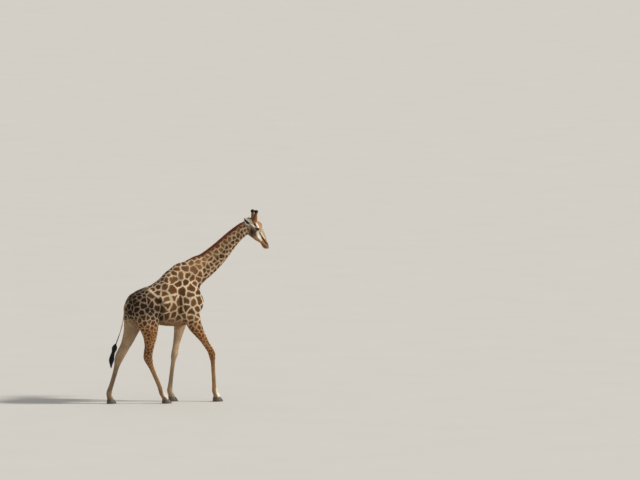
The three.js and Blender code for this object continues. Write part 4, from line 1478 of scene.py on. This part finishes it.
def strands(name, path, width, side, normal, spot, values, material, slot):
    """One piece of many thin blades. Each follows its path to a point, and keeps its own spot on the map."""
    count, rows = path.shape[:2]
    half = 0.5 * width[..., None] * side[:, None]
    pairs = np.stack([path[:, :-1] - half, path[:, :-1] + half], 2).reshape(count, -1, 3)
    points = np.concatenate([pairs, path[:, -1:]], 1).reshape(-1, 3)
    each = 2 * rows - 1
    quads = [[2 * k, 2 * k + 1, 2 * k + 3, 2 * k + 2] for k in range(rows - 2)]
    corners = np.array(sum(quads, []) + [each - 3, each - 2, each - 1])
    starts = np.array([4 * k for k in range(rows - 1)])
    loops = (np.arange(count)[:, None] * each + corners).ravel()
    firsts = (np.arange(count)[:, None] * len(corners) + starts).ravel()
    mesh = bpy.data.meshes.new(name)
    mesh.vertices.add(len(points))
    mesh.vertices.foreach_set("co", points.astype(np.float32).ravel())
    mesh.loops.add(len(loops))
    mesh.loops.foreach_set("vertex_index", loops.astype(np.int32))
    mesh.polygons.add(len(firsts))
    mesh.polygons.foreach_set("loop_start", firsts.astype(np.int32))
    mesh.polygons.foreach_set("use_smooth", np.ones(len(firsts), bool))
    mesh.update(calc_edges=True)
    row = np.append(np.repeat(np.arange(rows - 1), 2), rows - 1) / (rows - 1)
    across = np.append(np.tile((0.0, 1.0), rows - 1), 0.5)
    low, high = spot.min(0), spot.max(0)
    corner = SPOTS_SPAN * (spot - low) / np.maximum(high - low, 1e-6)
    places = corner[:, None] + SPOT_SIZE * np.stack([across, row], 1)
    layer = mesh.uv_layers.new(name="OFBake")
    layer.data.foreach_set("uv", places.reshape(-1, 2)[loops].astype(np.float32).ravel())
    give_values(mesh, along=np.tile(row, count), **{k: np.repeat(v, each) for k, v in values.items()})
    mesh.normals_split_custom_set_from_vertices(np.repeat(unit(normal), each, axis=0).tolist())
    return placed(in_scene(name, mesh), material, slot)


def long_strands(name, path, width, way, normal, spot, rng, material, slot):
    """Strands that turn their flat side to the normal, each with a tone of its own."""
    side = unit(np.cross(way, normal))
    return strands(name, path, width, side, normal, spot, {"hair": rng.random(len(path))}, material, slot)


def swung(directions, normals, angle):
    """Directions turned about the normals."""
    return directions * np.cos(angle)[:, None] + np.cross(normals, directions) * np.sin(angle)[:, None]


UP = np.array((0, 0, 1))


def hair_path(roots, way, length, rows, pull=0):
    """Hairs that leave their roots straight, and are pulled another way more and more towards the tip."""
    share = np.linspace(0, 1, rows)[:, None]
    pull = np.broadcast_to(pull, way.shape)
    return roots[:, None] + share * (length[:, None] * way)[:, None] + share**2 * pull[:, None]


def flat_path(points, normals, directions, length, lift, sunk):
    """A short tuft that rises a little from its root and lies along the skin."""
    start = points - normals * sunk[:, None]
    middle = points + directions * (0.5 * length)[:, None] + normals * lift[:, None]
    end = points + directions * length[:, None] + normals * (0.75 * lift)[:, None]
    return np.stack([start, middle, end], 1)


def coat_length(skin, sizes):
    """Length of the coat's tufts at each point."""
    z = skin.points[:, 2]
    full, least = sizes.coat_length, sizes.face_length
    legs = np.interp(z, (0.05, 0.12, 0.2, 0.7, 1.4, 1.9), np.array((1.1, 1.0, 0.5, 0.48, 0.7, 1)) * full)
    down_face = to_head(skin.points)[:, 0]
    face = np.interp(down_face, (0, 0.15, 0.3, 0.6), np.array((1.6, 1.15, 0.95, 0.75)) * least)
    length = skin.within("trunk") * full + skin.within("neck", "tail") * 0.82 * full
    length += skin.within(*LEGS) * legs + skin.within("head") * face
    return np.where(skin.share.sum(1) > 0, length, 1.3 * least)


TRUNK_PARTED = 0.52  # where along the trunk its coat is parted into two pieces


def coat_pieces(skin, roots):
    """The piece that each tuft belongs to."""
    place, t = skin.place[roots.corners[:, 0]], skin.t[roots.corners[:, 0]]
    side = np.where(roots.of(skin.points)[:, 1] < 0, "right", "left")
    names = np.array(PLACES, object)[place]
    halved = np.isin(place, [PLACES.index(name) for name in ("trunk", "neck", "head")])
    end = np.where(t > TRUNK_PARTED, "fore", "hind")
    names = np.where(halved, names + "_" + side, names)
    return np.where(place == PLACES.index("trunk"), names + "_" + end, names).astype(str)


def spots(skin, roots):
    """Each root's place on the map of the skin: how far round its limb, and how far along."""
    first = roots.corners[:, :1]
    same = skin.place[roots.corners] == skin.place[first]
    turn, t = skin.turn[roots.corners] - skin.turn[first], skin.t[roots.corners] - skin.t[first]
    turn = (turn + np.pi) % (2 * np.pi) - np.pi
    total = [(roots.shares * same * v).sum(1) for v in (turn, t)]
    return np.stack([skin.turn[first[:, 0]] + total[0], skin.t[first[:, 0]] + total[1]], 1)


def grow_coat(mesh, sizes, material, seed=5):
    """The short coat over the whole skin, in pieces."""
    skin = Map(mesh)
    marks = {name: numbers_of(mesh.attributes[name].data, "value", 1)[:, 0].astype(float) for name in MARKS}
    length = coat_length(skin, sizes)
    weight = (1.3 * sizes.coat_length / length) ** 1.1 * (marks["bare"] < 0.4)
    over_hooves = step(0.062, 0.075, skin.points[:, 2])
    roots = Roots(mesh, weight * over_hooves, sizes.coat_tufts, seed)
    rng = roots.rng
    points, normals = roots.of(skin.points), unit(roots.of(skin.normals))
    way = unit(roots.of(skin.lie) + 1e-6)
    way = unit(way - normals * dot(way, normals)[:, None])
    way = swung(way, normals, 0.2 * rng.standard_normal(roots.count))
    long = roots.of(length) * (0.75 + 0.5 * rng.random(roots.count))
    lift = long * (0.13 + 0.1 * rng.random(roots.count) ** 3)
    path = flat_path(points, normals, way, long, lift, 0.06 * long)
    side = np.cross(way, normals)
    wide = (0.12 + 4 * long)[:, None] * long[:, None] * (0.8, 1)
    shine = normals + 0.1 * rng.standard_normal(normals.shape)
    values = {name: roots.of(marks[name]) for name in MARKS}
    values["hair"] = rng.random(roots.count)
    spot = spots(skin, roots)
    names = coat_pieces(skin, roots)
    for name in sorted(set(names)):
        own = names == name
        strands(
            "coat_" + name, path[own], wide[own], side[own], shine[own], spot[own],
            {k: v[own] for k, v in values.items()}, material, "ear" if name.startswith("ear") else "coat",
        )


# ---- Eyes ----

GAZE = (0.2, 0.975, 0.06)
PUPIL_ALONG = (1, 0, -0.24)  # the way that the wide pupil runs
PUPIL_HALF = (0.42, 0.25)
IRIS_ANGLE = 0.86
EYE_SEEN = 0.0252  # radius of the ball, just inside the lids


def eyeball(side):
    """A ball with a raised clear front, its rings round the way it looks."""
    sign = SIDES[side]
    angle = np.linspace(0.004, np.pi - 0.004, 60)
    turn = np.linspace(0, 2 * np.pi, 72, endpoint=False)
    gaze = unit(np.array(GAZE) * (1, sign, 1))
    ahead = unit(PUPIL_ALONG - gaze * dot(np.array(PUPIL_ALONG), gaze))
    upper = np.cross(gaze, ahead) * -sign
    radius = EYE_SEEN * (1 + 0.03 * step(0.62, 0.1, angle))
    across, up = np.outer(np.sin(angle), np.cos(turn)), np.outer(np.sin(angle), np.sin(turn))
    ball = np.cos(angle)[:, None, None] * gaze + across[..., None] * ahead + up[..., None] * upper
    rings = from_head(eye_middle(sign) + radius[:, None, None] * ball)
    piece = piece_from("eye_ball_" + side, *closed(rings))
    pupil = np.hypot(across / PUPIL_HALF[0], up / PUPIL_HALF[1]) + 9 * (angle > 1.5)[:, None]
    iris = np.repeat(angle[:, None] / IRIS_ANGLE, len(turn), 1)
    rays = np.repeat(turn[None], len(angle), 0)
    give_values(
        piece.data, pupil=pupil.ravel(), iris=iris.ravel(),
        rayx=np.cos(rays).ravel(), rayy=np.sin(rays).ravel(),
    )
    face_out(piece.data)
    return piece


def eye_material(colours):
    """Dark iris with fine rays, a wide pupil and a brown white, under a wet front."""
    made, net, shader = new_material(
        "wet eye", 0.2, Specular_IOR_Level=0.1, Coat_Weight=0.35, Coat_Roughness=0.02
    )
    rays = net.add("CombineXYZ")
    for name, share, socket in zip(("rayx", "rayy", "iris"), (9, 9, 2), rays.inputs):
        net.join(net.math("MULTIPLY", net.kept(name), share), socket)
    fine = net.grain(1.6, rays.outputs[0], detail=3)
    iris = net.blend(net.between(fine, 0.3, 0.7), scaled(colours.iris, 0.6), scaled(colours.iris, 2.2))
    iris = net.blend(net.between(net.kept("iris"), 0.75, 1), iris, scaled(colours.iris, 0.25))
    white = net.blend(net.grain(160), linear(0x4A3327), linear(0x2E1F18))
    colour = net.blend(net.between(net.kept("iris"), 0.96, 1.05), iris, white)
    colour = net.blend(net.between(net.kept("pupil"), 1.08, 0.95), colour, (0.002, 0.002, 0.003))
    net.join(colour, shader["Base Color"])
    return made


# ---- Horns ----

def horn(side):
    """The horn's own line, as far inside its outline as the hair over it is deep."""
    rows = []
    for x, y, z, *reach in OSSICONE:
        depth = 0.002 + float(0.009 * step(3.63, 3.7, z) + 0.02 * step(3.54, 3.48, z))
        rows.append((x, y, z, *(max(r - depth, 0.004) for r in reach)))
    return Limb(rows, side=SIDES[side])


def horn_material(colours):
    """Skin of the horn, reddish below and black at the top; golden on the front and outer side as painted
    light, and dark brown behind and inside as painted shade.
    """
    made, net, shader = new_material("horn skin", 0.8, Sheen_Weight=0.1)
    stem = net.blend(net.kept("hair"), scaled(colours.stem, 0.3), colours.stem)
    top = net.between(net.kept("along"), 0.5, 0.72)
    net.join(net.blend(top, stem, colours.black), shader["Base Color"])
    net.bump(net.grain(260), 0.001, shader)
    return made


def build_horn(side, materials):
    """One horn: its core, the short hair up its stem and the black tuft on top."""
    limb, count, around = horn(side), 80, 48
    core = piece_from("horn_" + side, *closed(limb.rings(0, 1, count, around)))
    t = np.repeat(np.linspace(0, 1, count), around)
    mesh = core.data
    points, normals = points_of(mesh), normals_of(mesh)
    middle, along, sideways, upper, _ = limb.section(t)
    arm = points - middle
    normals *= np.sign(dot(normals, arm).sum())
    turn = np.arctan2(dot(arm, sideways), dot(arm, upper))
    # Painted light and shade: the horn is golden in front and outside, where the key light falls, and dark
    # brown behind and inside.
    lit = step(-0.5, 0.8, normals[:, 0] + 0.6 * SIDES[side] * normals[:, 1])  # golden in front and outside
    give_values(mesh, along=t, hair=lit)
    smooth(mesh)
    placed(core, materials["core"], "ossicone", "ossicone_" + side)
    for name, weight, count, reach, rise_by, seed in (
        ("stem", step(0.0, 0.1, t) * step(0.74, 0.66, t), 5500, 0.013, 0.16, 21),
        ("tuft", step(0.55, 0.66, t), 3800, 0.026, 0.75, 22),
    ):
        roots = Roots(mesh, weight, count, seed)
        rng = roots.rng
        here, out = roots.of(points), unit(roots.of(normals))
        up = unit(roots.of(along))
        rising = rise_by * (0.4 + 0.8 * rng.random(count))
        way = unit(up - out * dot(up, out)[:, None] * 0.6 + out * rising[:, None])
        way = unit(way + 0.13 * rng.standard_normal(way.shape))
        long = reach * (0.65 + 0.5 * rng.random(count))
        from_axis = np.linalg.norm((here - limb.middle[-1])[:, :2], axis=1)
        top = OSSICONE[-1][2] + SHIFT[2] - 0.0005 - 8 * from_axis**2 - 0.003 * rng.random(count)
        long = np.minimum(long, np.maximum(top - here[:, 2], 0.004) / np.maximum(way[:, 2], 0.2))
        path = hair_path(here - 0.001 * out, way, long, 4, pull=(long * 0.12)[:, None] * up)
        path[:, -1, 2] = np.minimum(path[:, -1, 2], top)
        wide = np.array((0.9, 0.8, 0.5)) * 0.0018
        spot = np.stack([roots.of(turn), roots.of(t)], 1)
        # The hairs are brighter on the horn's lit side, as painted light.
        tone = 0.3 * rng.random(count) + 0.7 * roots.of(lit)
        strands(
            f"horn_{name}_{side}", path, wide, unit(np.cross(way, out)), out + 0.2 * up, spot,
            {"hair": tone}, materials[name], "ossicone",
        )


# ---- Hooves ----

def claw_rings(length, width, height, outwards):
    """Rings of one claw from the sole up: worn lower rim, growth rings on the wall, rounded heel and toe."""
    z = np.concatenate([[0, 0.012, 0.035, 0.07], np.linspace(0.11, 1, 34)])
    levels = (0, 0.25, 0.65, 1)
    long = np.interp(z, levels, (1, 0.98, 0.85, 0.7)) - 0.012 * step(0.05, 0, z)
    wide = np.interp(z, levels, (1, 0.98, 0.9, 0.78)) - 0.02 * step(0.05, 0, z)
    back = np.interp(z, levels, (0, 0.002, 0.012, 0.022))
    ridge = 0.00022 * (np.sin(z * height / 0.0011) + np.sin(z * height / 0.0019)) * step(0.08, 0.2, z)
    angle = np.linspace(0, np.pi, 40)
    forward = -np.cos(angle)
    out = np.maximum(np.sin(angle), 0) ** 0.6 * width * (1 - 0.12 * forward)
    x = forward * (length * long[:, None] / 2 + ridge[:, None] - 0.0006) - back[:, None]
    y = CLEFT / 2 + out * wide[:, None] + ridge[:, None] * (out > 0.01) - 0.0005
    share = np.linspace(0, 1, 14)[1:-1]
    inner_x = x[:, -1:] + (x[:, :1] - x[:, -1:]) * share
    inner_y = CLEFT / 2 + 0.004 * np.sin(np.pi * share) * np.ones_like(inner_x)
    xs, ys = np.concatenate([x, inner_x], 1), np.concatenate([y, inner_y], 1)
    zs = np.repeat(z[:, None] * height, xs.shape[1], 1)
    return np.stack([xs, outwards * ys, zs], -1), np.repeat(z, xs.shape[1])


def build_foot(name, material):
    """Both claws of one foot."""
    (x, y), claw = FEET[name]
    shells, heights = [], []
    for outwards in (1, -1):
        rings, height = claw_rings(*claw, outwards)
        shells.append(closed(rings + (x + SHIFT[0], y, 0)))
        heights.append(height)
    piece = piece_from("hoof_" + name, *joined(shells))
    give_values(piece.data, along=np.concatenate(heights))
    face_out(piece.data)
    return placed(piece, material, "hoof", *(f"{name}_hoof_{which}" for which in ("outer", "inner")))


def hoof_material(colours):
    """Horn in bands that follow its growth, dusty and paler where it wears."""
    made, net, shader = new_material("hoof horn", 0.55)
    flat = net.add("VectorMath", operation="MULTIPLY")
    net.join(net.add("TexCoord").outputs["Object"], flat.inputs[0])
    net.join((6, 6, 160), flat.inputs[1])
    bands = net.grain(1.0, flat.outputs[0], detail=3)
    streaks = net.grain(120, detail=4)
    colour = net.blend(bands, scaled(colours.hoof, 0.55), scaled(colours.hoof, 1.35))
    colour = net.blend(net.between(streaks, 0.5, 0.95), colour, linear(0x7C6A52))
    worn = net.math("MULTIPLY", net.between(net.kept("along"), 0.16, 0.0), 0.7)
    colour = net.blend(worn, colour, linear(0x9A8A70))
    net.join(colour, shader["Base Color"])
    net.join(net.between(streaks, 0.2, 0.8, 0.42, 0.72), shader["Roughness"])
    net.bump(net.math("ADD", bands, net.math("MULTIPLY", streaks, 0.4)), 0.0012, shader)
    return made


# ---- Mane and tail tuft ----

def mane_height(share):
    """Height of the mane at each share of the way from the withers to the poll."""
    place = np.asarray(share) * (len(MANE_HEIGHT) - 1)
    return np.interp(place, range(len(MANE_HEIGHT)), MANE_HEIGHT)


def mane_line(share):
    """The neck's section at each share of the way from the withers to the poll."""
    return LIMBS["neck"].section(MANE_FROM + (MANE_TO - MANE_FROM) * share)


def mane_core(material):
    """The close roots of the mane, as one thin ridge."""
    share = np.linspace(0, 1, 260)
    middle, _, sideways, upper, reach = mane_line(share)
    crest = middle + upper * reach[:, :1]
    ragged = np.array([noise.noise(Vector((s * 90, 0, 0))) for s in share])
    high = mane_height(share) * (0.6 + 0.12 * ragged)
    sunk = np.full(len(share), -0.02)
    outline = (  # how far sideways, how high, and how far along a hair that place counts
        (-0.011, sunk, 0), (0.011, sunk, 0), (0.0075, high * 0.45, 0.3),
        (0.002, high, 0.6), (-0.002, high, 0.6), (-0.0075, high * 0.45, 0.3),
    )
    rings = np.stack([crest + sideways * out + upper * up[:, None] for out, up, _ in outline], 1)
    piece = piece_from("mane_ridge", *closed(rings))
    along = np.tile([to_tip for _, _, to_tip in outline], len(share))
    give_values(piece.data, along=along, hair=np.full(len(along), 0.4))
    face_out(piece.data)
    return placed(piece, material, "mane", "mane")


def mane_hair(count, depth, material, seed=31):
    """The upright hairs of the mane."""
    rng = np.random.default_rng(seed)
    share = (np.arange(count) + rng.random(count)) / count
    middle, along, sideways, upper, reach = mane_line(share)
    aside = np.clip(rng.standard_normal(count) * 0.5, -1, 1)
    height = mane_height(share) * (0.78 + 0.2 * rng.random(count)) * (1 - 0.35 * aside**2)
    clump = np.array([noise.noise_vector(Vector((s * 120, 0.7 * a, 3))) for s, a in zip(share, aside)])
    way = upper - along * (0.16 + 0.16 * rng.random(count) + 0.2 * clump[:, 0])[:, None]
    lean = 0.2 * aside + 0.1 * clump[:, 1] + 0.05 * rng.standard_normal(count)
    way = unit(way + sideways * lean[:, None])
    sunk = depth + 0.008
    root = middle + upper * (reach[:, :1] - sunk) + sideways * (0.011 * aside)[:, None]
    long = (height + sunk) * (0.97 + 0.04 * clump[:, 2])
    path = hair_path(root, way, long, 5, pull=-0.12 * long[:, None] * along)
    wide = np.array((1, 1, 0.85, 0.55)) * 0.0017 * (0.8 + 0.5 * rng.random(count))[:, None]
    facing = unit(sideways * np.where(aside < 0, -1, 1)[:, None] + 0.35 * upper)
    spot = np.stack([aside, share], 1)
    long_strands("mane_hair", path, wide, way, facing, spot, rng, material, "mane")


TAIL_LOCKS = 90
TAIL_TAPER = np.array((0.8, 1, 1, 1, 0.95, 0.9, 0.75, 0.55, 0.35)) * 0.0032


def tail_tuft(count, material, seed=41):
    """The long tuft of the tail: a core and strands that hang along it and draw together at the tip."""
    limb = Limb(TAIL_TUFT)
    slim = Limb([(*row[:3], *(0.62 * r for r in row[3:])) for row in TAIL_TUFT])
    core = piece_from("tail_tuft_core", *closed(slim.rings(0, 0.93, count=120, around=40)))
    even = np.ones(len(core.data.vertices))
    give_values(core.data, along=0.4 * even, hair=0.3 * even)
    smooth(core.data)
    placed(core, material, "tail_hair", "tail_tuft")
    rng = np.random.default_rng(seed)
    lock = rng.integers(TAIL_LOCKS, size=count)
    lock_angle, lock_start, lock_reach = (rng.random(TAIL_LOCKS)[lock] for _ in range(3))
    start = 0.66 * lock_start + 0.05 * rng.random(count)
    end = start + (1 - start) * (0.45 + 0.5 * lock_reach + 0.05 * rng.random(count))
    angle = 2 * np.pi * lock_angle + 0.3 * rng.standard_normal(count)
    ring = 0.5 + 0.45 * np.sqrt(rng.random(count))
    wild = 0.3 * (rng.random(count) < 0.07)  # a few hairs stand off
    rows = len(TAIL_TAPER) + 1
    path = np.empty((count, rows, 3))
    for k, s in enumerate(np.linspace(0, 1, rows)):
        t = start + (end - start) * s
        middle, _, sideways, upper, reach = limb.section(t)
        closing = 0.85 * s**1.5  # how far the lock has drawn together
        out = ring + (0.75 + 0.6 * lock_reach**2 - ring) * closing
        out *= 0.6 + 0.4 * step(0, 0.2, s) + wild * s
        swirl = angle + (2 * np.pi * lock_angle - angle) * closing + 0.3 * np.sin(9 * t + 40 * lock_reach)
        up = np.cos(swirl)
        high = np.where(up > 0, reach[:, 0], reach[:, 1])
        path[:, k] = middle + sideways * (out * reach[:, 2] * np.sin(swirl))[:, None]
        path[:, k] += upper * (out * high * up)[:, None]
    wide = TAIL_TAPER * (0.7 + 0.6 * rng.random(count))[:, None]
    _, _, sideways, upper, _ = limb.section((start + end) / 2)
    facing = sideways * np.sin(angle)[:, None] + upper * np.cos(angle)[:, None]
    way = unit(path[:, -1] - path[:, 0])
    spot = np.stack([angle, start], 1)
    long_strands("tail_tuft_hair", path, wide, way, facing, spot, rng, material, "tail_hair")


# ---- Hair of the face ----

def lashes(side, material, seed=51):
    """Long lashes along the rims of the lids."""
    rng = np.random.default_rng(seed + SIDES[side])
    paths = []
    c, s = math.cos(-LID_SLANT), math.sin(-LID_SLANT)
    for above, count, reach in ((1, 120, 0.021), (-1, 40, 0.009)):
        x = np.linspace(-0.92, 0.9, count) + 0.012 * rng.standard_normal(count)
        lens = np.abs(1 - x**2) ** LENS_POWER
        z = above * (LID_ABOVE if above > 0 else LID_BELOW) * lens + above * 0.0016
        x = x * LID_HALF_LENGTH
        y = np.sqrt(np.maximum(EYE_RADIUS**2 - x**2 - z**2, 1e-8))
        rim = np.stack([x * c - z * s, y, x * s + z * c], 1)
        out = unit(rim)
        start = EYE_PLACE + out * (EYE_RADIUS + 0.0012)
        fan = np.stack([0.5 * x / LID_HALF_LENGTH, np.full(count, 0.9), np.full(count, 0.0)], 1)
        way = unit(fan + (0, 0, -0.18 if above > 0 else -0.5) + 0.08 * rng.standard_normal((count, 3)))
        long = reach * (0.7 + 0.4 * rng.random(count)) * (0.55 + 0.45 * lens)
        paths.append(hair_path(start, way, long, 6, pull=np.outer((0.35 * above + 0.1) * long, UP)))
    path = from_head(np.concatenate(paths) * (1, SIDES[side], 1))
    count = len(path)
    facing = np.tile(way_from_head((0, 0.3 * SIDES[side], 1)), (count, 1))
    way = unit(path[:, -1] - path[:, 0])
    wide = np.array((1, 1, 0.9, 0.7, 0.4)) * 0.0009
    spot = np.stack([np.arange(count) / count, rng.random(count)], 1)
    long_strands("lashes_" + side, path, wide, way, facing, spot, rng, material, "eye")


def ear_hair(side, mesh, skin, material, seed=61):
    """Pale hair inside the ear and over its rim."""
    own = skin.place == PLACES.index("ear_" + side)
    to_rim = skin.ear_side()
    hollow = own * (skin.turn > 0.5) * step(0.2, 0.4, skin.t) * step(0.45, 0.75, to_rim)
    rim = own * step(0.8, 0.95, to_rim) * step(0.15, 0.3, skin.t)
    mouth = unit(np.array(EARS[side][2]))
    for name, weight, count, reach, lift, outwards in (
        ("inner", hollow, 900, 0.02, 0.35, 0.35),
        ("rim", rim, 1300, 0.011, 0.2, 0.1),
    ):
        roots = Roots(mesh, weight, count, seed + SIDES[side])
        rng = roots.rng
        here, out = roots.of(skin.points), unit(roots.of(skin.normals))
        way = unit(roots.of(skin.lie)) + lift * out + outwards * mouth
        way = unit(way + 0.16 * rng.standard_normal(way.shape))
        long = reach * (0.6 + 0.6 * rng.random(count)) * step(1.04, 0.85, roots.of(skin.t) + 0.06)
        long = np.maximum(long, 0.003)
        wide = np.array((1, 0.9, 0.6)) * 0.0013
        spot = np.stack([roots.of(skin.turn), roots.of(skin.t)], 1)
        path = hair_path(here, way, long, 4)
        long_strands(f"ear_{name}_{side}", path, wide, way, out, spot, rng, material, "ear")


def whiskers(mesh, skin, material, count=160, seed=71):
    """Sparse stiff hairs on the lips and chin."""
    local = to_head(skin.points)
    weight = skin.within("head") * step(0.57, 0.64, local[:, 0]) * step(0.03, 0.0, local[:, 2])
    roots = Roots(mesh, weight, count, seed)
    rng = roots.rng
    here, out = roots.of(skin.points), unit(roots.of(skin.normals))
    way = unit(out + 0.5 * rng.standard_normal(out.shape) + (0.2, 0, -0.5))
    long = 0.014 * (0.6 + 0.6 * rng.random(count))
    path = hair_path(here, way, long, 4, pull=np.outer(-0.2 * long, UP))
    low, high = np.array(CAD_BOX)
    path = np.clip(path, low + 0.001, high - 0.001)
    wide = np.array((1, 0.9, 0.6)) * 0.0007
    spot = np.stack([roots.of(skin.turn), roots.of(skin.t)], 1)
    long_strands("whiskers", path, wide, way, out, spot, rng, material, "coat")


# ---- Stage ----

FLOOR_HALF = 700  # far enough for its edge to be out of sight


def build_stage(stage):
    """Pale floor, even light from all round, one soft key light and the camera."""
    corners = [(x * FLOOR_HALF, y * FLOOR_HALF, 0) for x, y in ((-1, -1), (1, -1), (1, 1), (-1, 1))]
    floor = piece_from("floor", corners, [(0, 1, 2, 3)])
    made, net, shader = new_material("pale floor", 0.9, Specular_IOR_Level=0.1)
    shade = net.blend(net.grain(0.7, detail=2), linear(0xC2C0BB), linear(0xC7C5C0))
    net.join(shade, shader["Base Color"])
    floor.data.materials.append(made)

    scene = bpy.context.scene
    world = bpy.data.worlds.new("studio")
    scene.world = world
    world.use_nodes = True
    sky = world.node_tree.nodes["Background"].inputs
    sky["Color"].default_value = (1, 0.99, 0.97, 1)
    sky["Strength"].default_value = stage.sky
    scene.view_settings.view_transform = "Standard"

    key = bpy.data.lights.new("key", "SUN")
    key.energy = stage.sun
    key.angle = math.radians(7)
    key.color = (1, 0.965, 0.91)
    lamp = in_scene("key", key)
    lamp.rotation_mode = "QUATERNION"
    lamp.rotation_quaternion = Vector((-0.78, 0.42, -0.68)).to_track_quat("-Z", "Y")

    a, e = stage.azimuth, stage.elevation
    back = Vector((math.sin(a) * math.cos(e), -math.cos(a) * math.cos(e), math.sin(e)))
    right = Vector((math.cos(a), math.sin(a), 0))
    upper = back.cross(right)
    middle = Vector((0, 0, (CAD_BOX[0][2] + CAD_BOX[1][2]) / 2))
    camera = bpy.data.cameras.new("camera")
    camera.sensor_width = 36
    camera.lens = camera.sensor_width * stage.distance / stage.view_width
    camera.clip_end = 5000
    holder = in_scene("camera", camera)
    holder.location = middle + back * stage.distance + right * stage.ahead + upper * stage.above
    holder.rotation_mode = "QUATERNION"
    holder.rotation_quaternion = back.to_track_quat("Z", "Y")
    scene.camera = holder


# ---- Operators ----

def skin_mesh():
    """The skin's mesh, which the coat needs first."""
    if "skin" not in bpy.data.objects:
        raise RuntimeError("the skin is made before the hair")
    return bpy.data.objects["skin"].data


class GIRAFFE_OT_skin(bpy.types.Operator):
    """Lay one skin over all the flesh, with its folds, lids, markings and painted shade and highlights"""

    bl_idname = "giraffe.skin"
    bl_label = "Skin"

    def execute(self, context):
        sizes = context.scene.giraffe_sizes
        mesh = build_skin(sizes)
        mark_skin(mesh, Map(mesh), sizes)
        placed(in_scene("skin", mesh), patterned("skin", 0.004, 0.8, furrows=0.0022), "coat", *FLESH_NODES)
        return {"FINISHED"}


class GIRAFFE_OT_eyes(bpy.types.Operator):
    """Set both eyes into their lids"""

    bl_idname = "giraffe.eyes"
    bl_label = "Eyes"

    def execute(self, context):
        material = eye_material(context.scene.giraffe_colours)
        for side in SIDES:
            placed(eyeball(side), material, "eye", "eye_" + side)
        return {"FINISHED"}


class GIRAFFE_OT_horns(bpy.types.Operator):
    """Build both horns with their hair"""

    bl_idname = "giraffe.horns"
    bl_label = "Horns"

    def execute(self, context):
        colours = context.scene.giraffe_colours
        materials = {
            "core": horn_material(colours),
            "stem": long_hair("stem hair", scaled(colours.stem, 0.7), colours.stem, roughness=0.7),
            "tuft": long_hair("horn tuft", colours.black, scaled(colours.black, 1.4), colours.cream, 0.012),
        }
        for side in SIDES:
            build_horn(side, materials)
        return {"FINISHED"}


class GIRAFFE_OT_hooves(bpy.types.Operator):
    """Build the eight claws of the hooves"""

    bl_idname = "giraffe.hooves"
    bl_label = "Hooves"

    def execute(self, context):
        material = hoof_material(context.scene.giraffe_colours)
        for name in FEET:
            build_foot(name, material)
        return {"FINISHED"}


class GIRAFFE_OT_mane(bpy.types.Operator):
    """Grow the upright mane along the neck"""

    bl_idname = "giraffe.mane"
    bl_label = "Mane"

    def execute(self, context):
        colours, sizes = context.scene.giraffe_colours, context.scene.giraffe_sizes
        root, tip = scaled(colours.mane, 1.15), scaled(colours.mane, 0.55)
        material = long_hair("mane hair", root, tip, roughness=0.6)
        mane_core(material)
        mane_hair(sizes.mane_strands, sizes.coat_depth, material)
        return {"FINISHED"}


class GIRAFFE_OT_tail_tuft(bpy.types.Operator):
    """Hang the black tuft from the tail"""

    bl_idname = "giraffe.tail_tuft"
    bl_label = "Tail Tuft"

    def execute(self, context):
        black = context.scene.giraffe_colours.black
        material = long_hair("tail hair", black, scaled(black, 1.3), roughness=0.42)
        tail_tuft(context.scene.giraffe_sizes.tail_strands, material)
        return {"FINISHED"}


class GIRAFFE_OT_face_hair(bpy.types.Operator):
    """Add the lashes, the hair of the ears and the whiskers"""

    bl_idname = "giraffe.face_hair"
    bl_label = "Face Hair"

    def execute(self, context):
        colours, mesh = context.scene.giraffe_colours, skin_mesh()
        black = long_hair("lash", colours.black, colours.black, roughness=0.4)
        pale = long_hair("ear hair", scaled(colours.pale, 0.75), colours.pale, roughness=0.7)
        grey = long_hair("whisker", colours.dusk, colours.dusk_line)
        skin = Map(mesh)
        for side in SIDES:
            lashes(side, black)
            ear_hair(side, mesh, skin, pale)
        whiskers(mesh, skin, grey)
        return {"FINISHED"}


class GIRAFFE_OT_coat(bpy.types.Operator):
    """Grow the short coat over the whole skin"""

    bl_idname = "giraffe.coat"
    bl_label = "Coat"

    def execute(self, context):
        grow_coat(skin_mesh(), context.scene.giraffe_sizes, patterned("coat", 0.003, 0.72))
        return {"FINISHED"}


class GIRAFFE_OT_stage(bpy.types.Operator):
    """Set the floor, the light and the camera"""

    bl_idname = "giraffe.stage"
    bl_label = "Stage"

    def execute(self, context):
        build_stage(context.scene.giraffe_stage)
        return {"FINISHED"}


OPERATORS = (
    GIRAFFE_OT_skin, GIRAFFE_OT_eyes, GIRAFFE_OT_horns, GIRAFFE_OT_hooves, GIRAFFE_OT_mane,
    GIRAFFE_OT_tail_tuft, GIRAFFE_OT_face_hair, GIRAFFE_OT_coat, GIRAFFE_OT_stage,
)


class GIRAFFE_PT_panel(bpy.types.Panel):
    """Sizes, colours and the pieces of the giraffe"""

    bl_label = "Walking Giraffe"
    bl_space_type = "VIEW_3D"
    bl_region_type = "UI"
    bl_category = "Giraffe"

    def draw(self, context):
        for setting, kind in SETTINGS.items():
            box = self.layout.box()
            for name in kind.__annotations__:
                box.prop(getattr(context.scene, setting), name)
        for operator in OPERATORS:
            self.layout.operator(operator.bl_idname)


CLASSES = (*SETTINGS.values(), *OPERATORS, GIRAFFE_PT_panel)


def register():
    for kind in CLASSES:
        bpy.utils.register_class(kind)
    for name, kind in SETTINGS.items():
        setattr(bpy.types.Scene, name, PointerProperty(type=kind))


def unregister():
    for name in SETTINGS:
        delattr(bpy.types.Scene, name)
    for kind in reversed(CLASSES):
        bpy.utils.unregister_class(kind)


def main():
    register()
    for operator in OPERATORS:
        group, name = operator.bl_idname.split(".")
        getattr(getattr(bpy.ops, group), name)()


if __name__ == "__main__":
    main()
